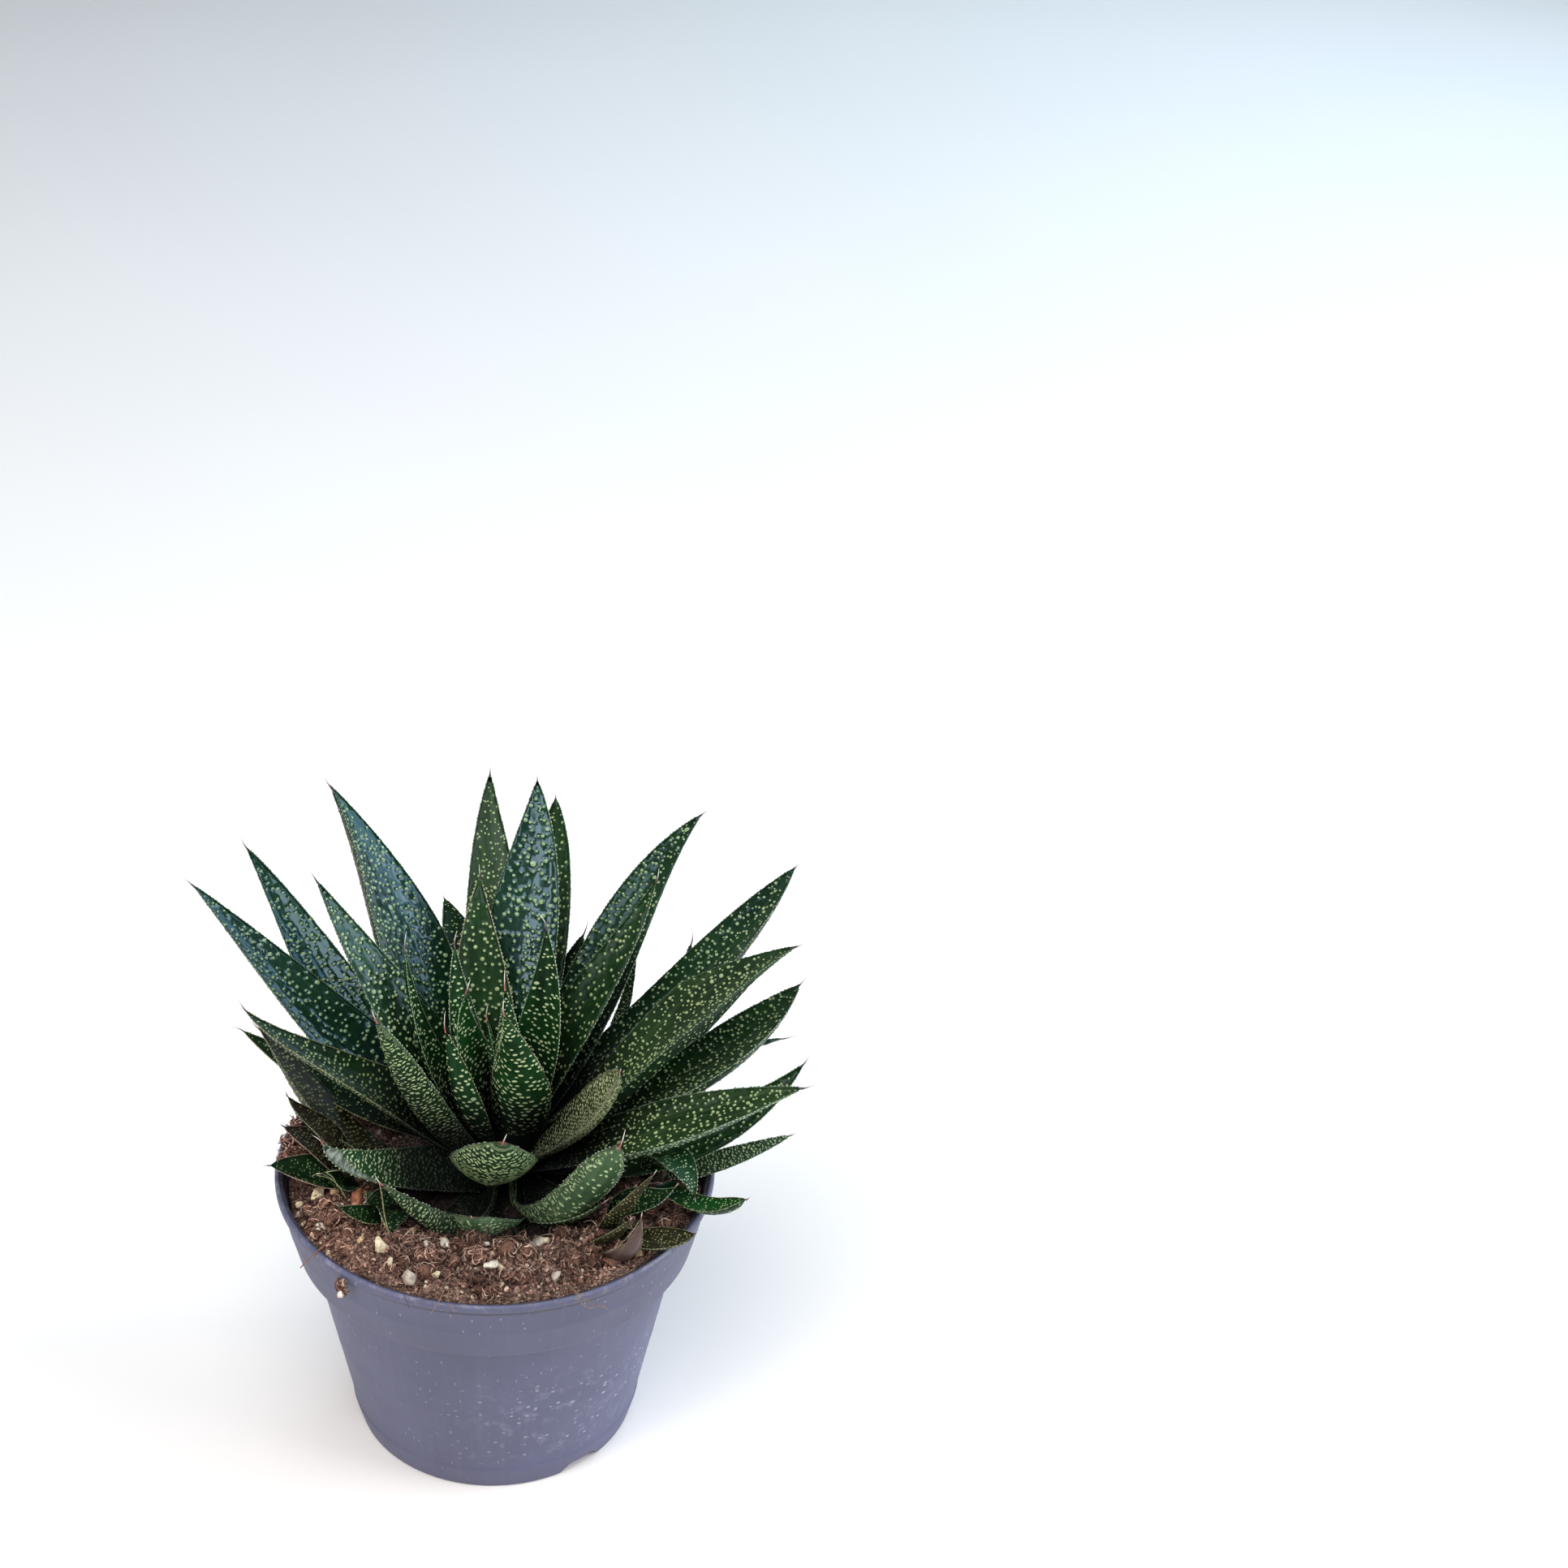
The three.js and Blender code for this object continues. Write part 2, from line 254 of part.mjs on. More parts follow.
// -------------------------------------------------------------------- leaves
function leafWidth(t, wb, tp, q) {
  return t < tp ? wb + (1 - wb) * Math.sin(0.5 * Math.PI * t / tp)
    : Math.max(0, 1 - ((t - tp) / (1 - tp)) ** q);
}
function leafSolid(row, grow) {
  const [name, c, w, wb, tp, q, roll0, roll1, fold, thick] = row;
  const steps = name.startsWith('leaf') ? LEAF_STEPS : OFFSET_STEPS;
  const P = [0, 1, 2, 3].map((i) => new THREE.Vector3(c[3 * i], c[3 * i + 1], c[3 * i + 2]));
  const curve = new THREE.CubicBezierCurve3(...P);
  const chord = P[3].clone().sub(P[0]);
  const az = Math.atan2(chord.y, chord.x);
  const side0 = new THREE.Vector3(-Math.sin(az), Math.cos(az), 0);
  const g = new THREE.SphereGeometry(1, LEAF_SIDES, steps);
  const pos = g.attributes.position;
  const uv = g.attributes.uv;
  for (let i = 0; i < pos.count; i++) {
    const v = 1 - uv.getY(i);                       // 0 at the base pole, 1 at the tip pole
    const ring = Math.round(v * steps);
    const col = Math.round(uv.getX(i) * LEAF_SIDES - (ring === 0 ? 0.5 : ring === steps ? 0.5 : 0)) % LEAF_SIDES;
    const phi = (2 * Math.PI * col) / LEAF_SIDES;
    let t = ring === 0 ? 0 : ring === steps ? 1 : 0.008 + 0.965 * ((ring - 1) / (steps - 2)) ** 0.92;
    const centre = curve.getPoint(t);
    const tan = curve.getTangent(t).normalize();
    const side = side0.clone().addScaledVector(tan, -side0.dot(tan)).normalize();
    const up = new THREE.Vector3().crossVectors(tan, side);
    const roll = (roll0 + roll1 * t) * Math.PI / 180;
    const s2 = side.clone().multiplyScalar(Math.cos(roll)).addScaledVector(up, Math.sin(roll));
    const n2 = side.clone().multiplyScalar(-Math.sin(roll)).addScaledVector(up, Math.cos(roll));
    if (ring === 0) {
      centre.addScaledVector(tan, -1.6 * grow).addScaledVector(n2, -0.35 * thick * wb);
    } else if (ring === steps) {
      centre.addScaledVector(tan, TIP_SPINE + grow);
    } else {
      const lw = leafWidth(t, wb, tp, q);
      const half = w * lw;
      const s = Math.cos(phi);
      const u = Math.sin(phi);
      const edge = half + 2.2 * grow;
      const rise = fold * edge * s * s;
      const th = thick * lw ** 0.8 * (1 - s * s) ** 0.8 * (Math.abs(s) > 0.99 ? 0 : 1);
      const y = u > 0.01 ? rise + grow : u < -0.01 ? rise - Math.max(th, 0.35) - grow : rise - 0.18 + 0.8 * grow;
      if (ring === 1) centre.addScaledVector(tan, -grow);
      centre.addScaledVector(s2, s * (edge + 0.12)).addScaledVector(n2, y);
    }
    pos.setXYZ(i, centre.x, centre.y, centre.z);
  }
  return toSolid(g);
}

// ------------------------------------------------------------------ assembly
const plant = new THREE.Group();
function place(name, solid, color, roughness) {
  const mesh = new THREE.Mesh(toGeometry(solid), new THREE.MeshStandardMaterial({ color, roughness, metalness: 0 }));
  mesh.name = name;
  plant.add(mesh);
}

const stem = stemSolid(0);
const stemFat = stemSolid(GAP);
const soil = largest(soilSolid(0).subtract(stemFat));
const soilFat = soilSolid(GAP);
place('pot', pot, 0x6d6c80, 0.55);
place('soil', soil, 0x5a4032, 0.95);
place('stem', stem, 0x7d7a4c, 0.7);

// Inner leaves keep their whole base and each outer leaf clasps what is inside it.
const potFat = lathe([[0, -2], [RIM_RADIUS + GAP, -2], [RIM_RADIUS + GAP, POT_HEIGHT + GAP], [RIM_RADIUS - LIP - GAP, POT_HEIGHT + GAP],
  [RIM_RADIUS - LIP - 1.5 - GAP, POT_HEIGHT - 6], [0, POT_HEIGHT - 6]], 48);
const placed = [];
const boxOf = (s) => s.boundingBox();
const meet = (a, b) => [0, 1, 2].every((k) => a.min[k] < b.max[k] && b.min[k] < a.max[k]);
for (const row of LEAVES) {
  const whole = leafSolid(row, 0);
  let leaf = whole.subtract(stemFat).subtract(soilFat).subtract(potFat);
  const box = boxOf(whole);
  for (const other of placed) if (meet(box, other.box)) leaf = leaf.subtract(other.fat);
  leaf = largest(leaf);
  const fat = leafSolid(row, GAP);
  placed.push({ fat, box: boxOf(fat) });
  const offset = !row[0].startsWith('leaf');
  place(row[0], leaf, offset ? 0x3f4a24 : 0x2f5a30, 0.4);
}

export default plant;
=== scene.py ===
"""Looks of the potted gasteria: every leaf with its spots, ridges, toothed
margins and hair-like tip, the fibrous soil with its grains, and the thin
moulded pot. Built in millimetres and written in metres."""
import math

import bpy
import numpy as np
from mathutils import Matrix, Vector
from mathutils.geometry import delaunay_2d_cdt


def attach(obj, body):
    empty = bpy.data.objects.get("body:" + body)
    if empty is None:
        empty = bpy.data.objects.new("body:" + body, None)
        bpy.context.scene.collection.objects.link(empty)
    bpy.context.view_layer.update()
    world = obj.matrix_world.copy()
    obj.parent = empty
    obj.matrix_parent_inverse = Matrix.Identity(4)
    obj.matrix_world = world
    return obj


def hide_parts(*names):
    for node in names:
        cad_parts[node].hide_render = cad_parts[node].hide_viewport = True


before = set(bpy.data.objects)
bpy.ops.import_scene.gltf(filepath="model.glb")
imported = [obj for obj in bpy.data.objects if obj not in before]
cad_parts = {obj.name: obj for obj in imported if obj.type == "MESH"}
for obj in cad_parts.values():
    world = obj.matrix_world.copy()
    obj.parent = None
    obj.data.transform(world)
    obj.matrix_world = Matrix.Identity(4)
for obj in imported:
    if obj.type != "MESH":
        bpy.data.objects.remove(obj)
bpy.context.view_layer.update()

MM = 0.001

# Each leaf: name, the four control points of its middle line (x y z each, base
# to tip, mm), half width, width ratio at the base, place of the widest section,
# taper exponent, roll at the base and added roll at the tip in degrees, rise of
# the margins, thickness.
LEAVES = [
    ['leaf_01', [3.34, -3.77, 89.76, 7.76, -4.11, 109.91, 6.37, -11.18, 126.36, 1.91, -16.8, 145.0], 8.56, 0.62, 0.423, 1.37, -10.8, -20.6, 0.18, 4.45],
    ['leaf_02', [2.51, 3.97, 90.04, 3.74, -2.83, 109.11, 3.91, -2.21, 124.8, 2.17, 0.03, 141.43], 5.04, 0.62, 0.332, 1.45, -1.4, -1.1, 0.18, 2.62],
    ['leaf_03', [1.0, 1.0, 93.0, 2.23, 3.11, 104.93, -0.26, -0.35, 117.87, -2.56, 2.23, 129.92], 4.59, 0.62, 0.346, 1.47, 14.5, -2.4, 0.18, 2.39],
    ['leaf_04', [-1.98, -0.39, 89.06, -7.45, -8.62, 107.79, -10.55, -4.46, 118.0, -13.48, -1.72, 128.89], 6.25, 0.62, 0.355, 1.53, 21.0, 18.1, 0.18, 3.25],
    ['leaf_05', [-1.66, 1.62, 90.47, -0.73, -0.31, 109.53, -12.5, 0.22, 123.91, -7.88, 0.82, 139.66], 7.42, 0.62, 0.458, 1.45, -25.9, -17.7, 0.18, 3.86],
    ['leaf_06', [-0.48, 3.14, 89.52, -6.22, 5.34, 107.94, -11.15, 6.01, 128.79, -11.21, 14.83, 145.5], 5.94, 0.62, 0.34, 1.53, -3.7, -3.7, 0.18, 3.09],
    ['leaf_07', [4.28, 3.28, 89.97, 10.3, 2.64, 111.89, 15.02, 5.95, 132.52, 13.17, 12.47, 152.39], 6.96, 0.62, 0.376, 1.64, 8.2, 7.5, 0.18, 3.62],
    ['leaf_08', [-1.49, 1.96, 88.0, -15.03, -1.44, 109.88, -22.13, 0.25, 126.26, -24.33, 13.76, 145.0], 6.28, 0.62, 0.335, 1.3, 5.4, 8.5, 0.18, 3.27],
    ['leaf_09', [-1.68, -1.57, 84.0, -17.02, -8.98, 98.76, -25.72, -3.84, 120.77, -31.29, -7.08, 136.09], 6.66, 0.62, 0.42, 1.83, 35.6, 17.4, 0.18, 3.46],
    ['leaf_10', [5.56, -1.83, 87.45, 18.67, -9.79, 98.92, 30.16, -13.37, 115.99, 31.75, -23.63, 131.22], 8.06, 0.62, 0.512, 1.57, 21.9, 21.0, 0.18, 4.19],
    ['leaf_11', [1.07, 3.89, 90.57, -3.18, 10.38, 114.49, -5.75, 16.33, 139.32, -4.56, 30.38, 157.18], 8.39, 0.62, 0.39, 1.67, -2.7, -1.6, 0.18, 4.36],
    ['leaf_12', [0.0, -4.0, 90.0, -2.0, -16.0, 92.5, -1.5, -25.5, 98.2, 1.7, -29.03, 113.0], 11.5, 0.62, 0.5, 3.8, -6.0, 0.0, 0.18, 4.6],
    ['leaf_13', [4.77, 2.89, 90.64, 14.3, 9.41, 116.37, 33.15, 17.06, 135.63, 43.47, 31.5, 154.95], 8.49, 0.62, 0.296, 1.64, -4.0, 8.7, 0.18, 4.42],
    ['leaf_14', [2.32, 3.99, 91.19, 0.41, 14.4, 122.16, 11.9, 27.46, 152.86, 11.05, 47.57, 177.38], 10.37, 0.62, 0.428, 2.02, -7.4, 6.0, 0.18, 5.39],
    ['leaf_15', [1.94, 4.0, 90.25, 3.53, 22.65, 118.99, -3.5, 41.6, 148.63, -1.78, 68.64, 167.26], 10.02, 0.62, 0.323, 1.65, 5.3, 1.3, 0.18, 5.21],
    ['leaf_16', [-0.84, 2.82, 89.31, -20.22, 15.34, 120.28, -24.92, 35.92, 147.67, -46.03, 62.11, 167.18], 12.82, 0.62, 0.542, 1.39, 1.3, 31.9, 0.18, 6.67],
    ['leaf_17', [-1.11, 2.51, 89.37, -19.74, 3.92, 116.6, -33.86, 7.45, 142.12, -47.73, 21.06, 162.3], 9.41, 0.62, 0.369, 1.41, -10.4, -2.4, 0.18, 4.89],
    ['leaf_18', [4.75, 2.9, 90.74, 27.13, 19.52, 114.11, 33.92, 41.47, 145.08, 58.25, 65.36, 155.58], 9.45, 0.62, 0.419, 1.66, -6.3, 7.4, 0.18, 4.91],
    ['leaf_19', [2.7, 3.94, 91.27, 4.62, 26.75, 115.25, 16.4, 48.54, 144.18, 16.85, 78.51, 153.07], 10.18, 0.62, 0.413, 1.78, -5.5, -5.0, 0.18, 5.29],
    ['leaf_20', [5.41, 2.09, 90.81, 37.9, 15.71, 106.57, 66.3, 26.73, 139.37, 83.77, 50.47, 146.95], 11.16, 0.62, 0.264, 2.34, -22.3, 18.0, 0.18, 5.8],
    ['leaf_21', [5.96, 0.55, 84.0, 35.49, -8.98, 112.81, 43.94, 6.68, 131.32, 81.98, 19.99, 140.82], 11.42, 0.62, 0.695, 1.08, -17.2, 11.9, 0.18, 5.94],
    ['leaf_22', [5.85, 1.08, 88.19, 38.48, -5.59, 101.52, 66.49, 9.38, 113.34, 84.61, 29.54, 121.47], 9.87, 0.62, 0.546, 2.1, -19.9, 19.5, 0.18, 5.13],
    ['leaf_23', [5.94, -0.72, 84.0, 31.55, -23.72, 106.32, 57.64, -14.34, 111.03, 81.63, -17.1, 120.37], 9.54, 0.62, 0.481, 1.48, -1.0, 14.2, 0.18, 4.96],
    ['leaf_24', [5.88, 0.97, 90.0, 29.65, 14.2, 96.48, 54.43, 17.06, 105.75, 81.04, 26.06, 105.3], 6.5, 0.62, 0.33, 1.45, 0.0, 0.0, 0.18, 3.38],
    ['leaf_25', [6.0, -0.01, 86.82, 35.39, -2.83, 87.02, 63.67, -3.92, 89.59, 85.53, 14.92, 104.98], 9.36, 0.62, 0.355, 1.53, 16.6, 12.6, 0.18, 4.87],
    ['leaf_26', [-1.49, 1.96, 88.29, -37.98, 17.46, 98.97, -49.99, 44.93, 125.41, -71.07, 72.59, 140.54], 9.88, 0.62, 0.321, 1.42, -8.8, -5.2, 0.18, 5.14],
    ['leaf_27', [-1.78, 1.31, 87.33, -35.18, 10.1, 102.89, -56.41, 26.18, 126.84, -83.3, 43.75, 146.56], 10.68, 0.62, 0.367, 1.37, -10.8, 11.7, 0.18, 5.56],
    ['leaf_28', [-1.96, 0.53, 84.0, -24.52, 3.3, 106.3, -58.06, -0.7, 122.76, -67.46, 13.26, 125.94], 9.45, 0.62, 0.245, 1.0, -7.3, 12.4, 0.18, 4.91],
    ['leaf_29', [-2.0, -0.15, 84.0, -39.25, -8.1, 75.25, -49.27, 19.58, 95.61, -66.56, 37.59, 102.28], 7.74, 0.62, 0.469, 1.8, 34.5, -21.3, 0.18, 4.02],
    ['leaf_30', [-1.48, 1.97, 88.79, -28.8, 13.46, 90.53, -51.8, 30.07, 89.86, -72.73, 52.6, 90.7], 7.15, 0.62, 0.364, 1.46, -13.9, -8.9, 0.18, 3.72],
    ['leaf_31', [-2.0, -4.0, 84.0, -12.71, -10.65, 90.23, -42.26, -14.17, 89.76, -46.43, -9.62, 98.15], 6.73, 0.62, 0.12, 1.73, -31.4, -16.9, 0.18, 4.17],
    ['leaf_32', [6.0, -6.0, 86.0, 3.81, -27.94, 74.31, 23.66, -29.51, 90.89, 32.29, -27.47, 110.0], 6.03, 0.62, 0.75, 2.6, -41.0, -14.4, 0.18, 3.74],
    ['leaf_33', [-1.0, -8.0, 85.0, -4.9, -30.81, 75.39, -16.88, -30.14, 86.61, -30.27, -28.2, 99.0], 5.19, 0.62, 0.423, 1.79, 32.9, 15.7, 0.18, 3.22],
    ['leaf_34', [0.0, -8.0, 82.5, -1.5, -20.0, 79.0, -3.2, -29.0, 83.5, -6.4, -34.5, 92.5], 10.5, 0.62, 0.55, 2.8, 1.5, 0.0, 0.18, 4.4],
    ['leaf_35', [5.0, -7.0, 83.0, 8.19, -20.33, 81.97, 19.69, -29.61, 86.44, 27.9, -29.01, 92.0], 7.22, 0.62, 0.33, 1.78, 8.1, 4.1, 0.18, 4.0],
    ['leaf_36', [2.0, -12.0, 82.5, 1.5, -20.0, 81.5, 0.8, -30.0, 81.0, -0.3, -36.0, 85.3], 6.6, 0.62, 0.6, 3.0, 0.0, 0.0, 0.16, 3.0],
    ['leaf_37', [1.18, 3.91, 90.78, -3.5, 29.51, 105.11, -7.9, 51.65, 117.55, -15.27, 77.95, 119.18], 9.23, 0.62, 0.394, 1.59, -4.7, -4.0, 0.18, 4.8],
    ['leaf_38', [4.0, 4.0, 86.0, 9.93, 15.38, 99.45, 17.79, 36.23, 115.43, 24.51, 43.48, 129.75], 8.0, 0.62, 0.33, 1.45, 0.0, 0.0, 0.18, 4.16],
    ['leaf_39', [5.0, 2.0, 86.0, 28.0, 26.0, 90.0, 50.0, 44.0, 97.0, 56.82, 65.79, 112.05], 5.4, 0.62, 0.33, 1.45, 0.0, 0.0, 0.18, 3.0],
    ['leaf_40', [6.0, 1.0, 86.0, 27.92, 10.29, 94.3, 48.13, 25.72, 99.74, 71.03, 48.71, 105.7], 8.0, 0.62, 0.33, 1.45, 0.0, 0.0, 0.18, 4.16],
    ['leaf_41', [5.0, 2.0, 86.0, 24.0, 18.0, 82.0, 36.5, 33.0, 100.0, 39.6, 50.0, 120.8], 2.7, 0.62, 0.45, 1.8, 10.0, 0.0, 0.4, 1.6],
    ['left_offset_leaf_1', [-41.0, -4.0, 85.0, -42.29, -0.33, 95.46, -52.98, 2.35, 96.73, -56.39, 4.99, 102.95], 5.0, 0.62, 0.353, 1.47, 17.5, -6.1, 0.18, 2.1],
    ['left_offset_leaf_2', [-41.0, -5.0, 84.0, -44.91, -2.11, 91.37, -54.11, 0.66, 93.42, -57.49, 3.15, 93.9], 5.55, 0.62, 0.265, 1.5, 3.9, -3.9, 0.18, 2.33],
    ['left_offset_leaf_3', [-40.0, -7.0, 84.0, -45.58, -6.75, 85.11, -56.84, -7.71, 88.89, -60.6, -8.11, 89.5], 6.18, 0.62, 0.278, 1.55, -6.9, -5.1, 0.18, 2.59],
    ['left_offset_leaf_4', [-38.0, -8.0, 84.0, -44.6, -12.27, 84.89, -42.68, -12.65, 90.14, -46.53, -12.55, 90.03], 3.81, 0.62, 0.281, 1.35, -11.4, -6.0, 0.18, 1.6],
    ['front_offset_leaf_1', [-28.0, -22.0, 84.0, -32.25, -23.06, 87.83, -30.88, -21.12, 95.0, -34.07, -30.31, 95.09], 4.05, 0.62, 0.331, 1.49, 27.1, 9.4, 0.18, 1.7],
    ['front_offset_leaf_2', [-30.0, -24.0, 84.0, -34.09, -23.98, 84.58, -39.4, -25.64, 86.85, -41.38, -26.11, 89.61], 3.29, 0.62, 0.32, 1.46, -8.6, -4.2, 0.18, 1.38],
    ['front_offset_leaf_3', [-29.0, -22.0, 85.0, -26.14, -26.02, 89.44, -29.14, -30.5, 86.93, -26.01, -31.38, 84.03], 4.32, 0.62, 0.327, 1.46, -20.7, -1.2, 0.18, 1.81],
    ['right_offset_leaf_1', [29.0, -30.0, 84.0, 30.76, -34.1, 90.4, 36.45, -33.78, 97.73, 40.74, -38.58, 109.26], 3.53, 0.62, 0.359, 1.31, -23.4, -5.6, 0.18, 1.48],
    ['right_offset_leaf_2', [30.0, -29.0, 84.0, 31.88, -24.53, 92.64, 41.4, -29.13, 88.66, 47.16, -28.94, 97.06], 4.73, 0.62, 0.446, 1.64, 2.2, 8.7, 0.18, 1.99],
    ['right_offset_leaf_3', [28.0, -33.0, 84.0, 28.96, -37.88, 87.74, 32.95, -40.91, 92.76, 34.43, -44.48, 98.84], 4.8, 0.62, 0.33, 1.45, 10.0, 0.0, 0.18, 2.02],
    ['right_offset_leaf_4', [32.0, -33.0, 84.0, 39.45, -37.9, 85.2, 49.83, -41.28, 88.71, 51.85, -40.76, 90.76], 4.69, 0.62, 0.415, 1.44, -8.0, 21.0, 0.18, 1.97],
    ['right_offset_leaf_5', [30.0, -38.0, 83.0, 33.07, -44.83, 85.1, 36.03, -46.46, 90.5, 37.33, -44.97, 100.0], 4.45, 0.62, 0.314, 1.32, -24.0, -14.2, 0.18, 1.87],
    ['far_right_offset_leaf_1', [44.0, -4.0, 84.0, 51.15, -9.11, 83.22, 72.96, -3.23, 90.02, 81.06, 1.71, 89.73], 3.77, 0.62, 0.295, 1.65, 16.3, 0.3, 0.18, 1.58],
    ['far_right_offset_leaf_2', [44.0, -7.0, 84.0, 41.5, -9.0, 95.0, 50.5, -12.5, 96.4, 53.3, -21.0, 86.6], 5.4, 0.62, 0.55, 1.7, -10.0, 0.0, 0.18, 1.9],
    ['far_right_offset_leaf_3', [45.0, -12.0, 84.5, 52.0, -24.0, 84.6, 60.0, -27.5, 86.6, 66.5, -28.0, 91.7], 4.6, 0.62, 0.68, 2.2, -10.0, 4.0, 0.18, 1.7],
]

# Where each offset's short side stem comes up through the soil (mm).
OFFSET_STEMS = [(-40.5, -6.0, 86.0), (-29.0, -24.0, 86.0), (30.5, -32.0, 86.0), (44.5, -7.0, 86.5)]

# Pot and soil, as in the solid model (mm).
POT_HEIGHT, RIM_RADIUS, BAND_HEIGHT, BAND_RADIUS = 83.3, 60.0, 22.2, 54.8
BODY_RADIUS, FOOT_RADIUS, WALL, LIP = 50.9, 39.2, 1.5, 2.4
FLOOR_UNDER, FLOOR_TOP, HUB_RADIUS, FOOT_RING = 3.0, 4.6, 13.0, 3.4
SOIL_LEVEL = 80.6
BAND_BOTTOM = POT_HEIGHT - BAND_HEIGHT


def lin(r, g, b):
    """A colour given as 0 to 255 screen values, as linear light."""
    def f(c):
        c = c / 255.0
        return c / 12.92 if c <= 0.04045 else ((c + 0.055) / 1.055) ** 2.4
    return (f(r), f(g), f(b), 1.0)


# ------------------------------------------------------------------ node tools
class Tree:
    """A material's node tree with short calls."""

    def __init__(self, name):
        self.mat = bpy.data.materials.new(name)
        self.mat.use_nodes = True
        self.nt = self.mat.node_tree
        self.nt.nodes.clear()
        self.out = self.nt.nodes.new("ShaderNodeOutputMaterial")
        self.bsdf = self.nt.nodes.new("ShaderNodeBsdfPrincipled")
        self.nt.links.new(self.bsdf.outputs[0], self.out.inputs[0])

    def node(self, kind, **props):
        n = self.nt.nodes.new(kind)
        for k, v in props.items():
            setattr(n, k, v)
        return n

    def set(self, socket, value):
        if hasattr(value, "is_output") or isinstance(value, bpy.types.NodeSocket):
            self.nt.links.new(value, socket)
        else:
            socket.default_value = value

    def math(self, op, a, b=0.0, c=0.0, clamp=False):
        n = self.node("ShaderNodeMath", operation=op, use_clamp=clamp)
        for s, v in zip(n.inputs, (a, b, c)):
            self.set(s, v)
        return n.outputs[0]

    def ramp(self, x, lo, hi, a=0.0, b=1.0, smooth=True):
        n = self.node("ShaderNodeMapRange", clamp=True)
        if smooth:
            n.interpolation_type = "SMOOTHSTEP"
        for s, v in zip(n.inputs[:5], (x, lo, hi, a, b)):
            self.set(s, v)
        return n.outputs[0]

    def mix(self, fac, a, b, blend="MIX"):
        n = self.node("ShaderNodeMix", data_type="RGBA", blend_type=blend)
        n.clamp_factor = True
        self.set(n.inputs[0], fac)
        self.set(n.inputs[6], a)
        self.set(n.inputs[7], b)
        return n.outputs[2]

    def noise(self, vec, scale, detail=3.0, rough=0.5, distort=0.0):
        n = self.node("ShaderNodeTexNoise")
        self.set(n.inputs["Vector"], vec)
        n.inputs["Scale"].default_value = scale
        n.inputs["Detail"].default_value = detail
        n.inputs["Roughness"].default_value = rough
        n.inputs["Distortion"].default_value = distort
        return n.outputs[0]

    def voronoi(self, vec, scale, feature="F1", randomness=1.0):
        n = self.node("ShaderNodeTexVoronoi", feature=feature)
        self.set(n.inputs["Vector"], vec)
        n.inputs["Scale"].default_value = scale
        n.inputs["Randomness"].default_value = randomness
        return n

    def stretch(self, vec, scale):
        n = self.node("ShaderNodeMapping")
        self.set(n.inputs["Vector"], vec)
        n.inputs["Scale"].default_value = scale
        return n.outputs[0]

    def position(self):
        """The point in the object's own coordinates, in metres."""
        return self.node("ShaderNodeTexCoord").outputs["Object"]

    def channels(self, name):
        a = self.node("ShaderNodeAttribute", attribute_type="GEOMETRY", attribute_name=name)
        s = self.node("ShaderNodeSeparateColor")
        self.nt.links.new(a.outputs["Color"], s.inputs[0])
        return s.outputs[0], s.outputs[1], s.outputs[2]

    def colour(self, name):
        return self.node("ShaderNodeAttribute", attribute_type="GEOMETRY", attribute_name=name).outputs["Color"]

    def bump(self, height, strength, distance, normal=None):
        n = self.node("ShaderNodeBump")
        n.inputs["Strength"].default_value = strength
        n.inputs["Distance"].default_value = distance
        self.set(n.inputs["Height"], height)
        if normal is not None:
            self.set(n.inputs["Normal"], normal)
        return n.outputs[0]

    def shader(self, base, rough, normal=None, **fixed):
        self.set(self.bsdf.inputs["Base Color"], base)
        self.set(self.bsdf.inputs["Roughness"], rough)
        if normal is not None:
            self.set(self.bsdf.inputs["Normal"], normal)
        for k, v in fixed.items():
            self.bsdf.inputs[k.replace("_", " ")].default_value = v
        return self.mat


# ------------------------------------------------------------------ leaf looks
def dim(c, k):
    return tuple(v * k for v in c[:3]) + (1.0,)


# where heart() paints shade, metres: distance out where it starts and is full, height where it starts and is full
HEART = (0.044, 0.024, 0.122, 0.100)


def heart(t, pos, k, zone=HEART):
    """Painted shade, by position: dark low and close to the rosette's middle.
    zone: distance out and height where that starts and is full, metres."""
    sep = t.node("ShaderNodeSeparateXYZ")
    t.set(sep.inputs[0], pos)
    x, y, z = sep.outputs
    far_out = t.math("SQRT", t.math("ADD", t.math("MULTIPLY", x, x), t.math("MULTIPLY", y, y)))
    inner = t.math("MULTIPLY", t.ramp(far_out, zone[0], zone[1]), t.ramp(z, zone[2], zone[3]))
    foot = t.math("MULTIPLY", t.ramp(far_out, 0.037, 0.026), t.ramp(z, 0.099, 0.090))
    return t.math("MULTIPLY", t.math("MAXIMUM", inner, foot), k)


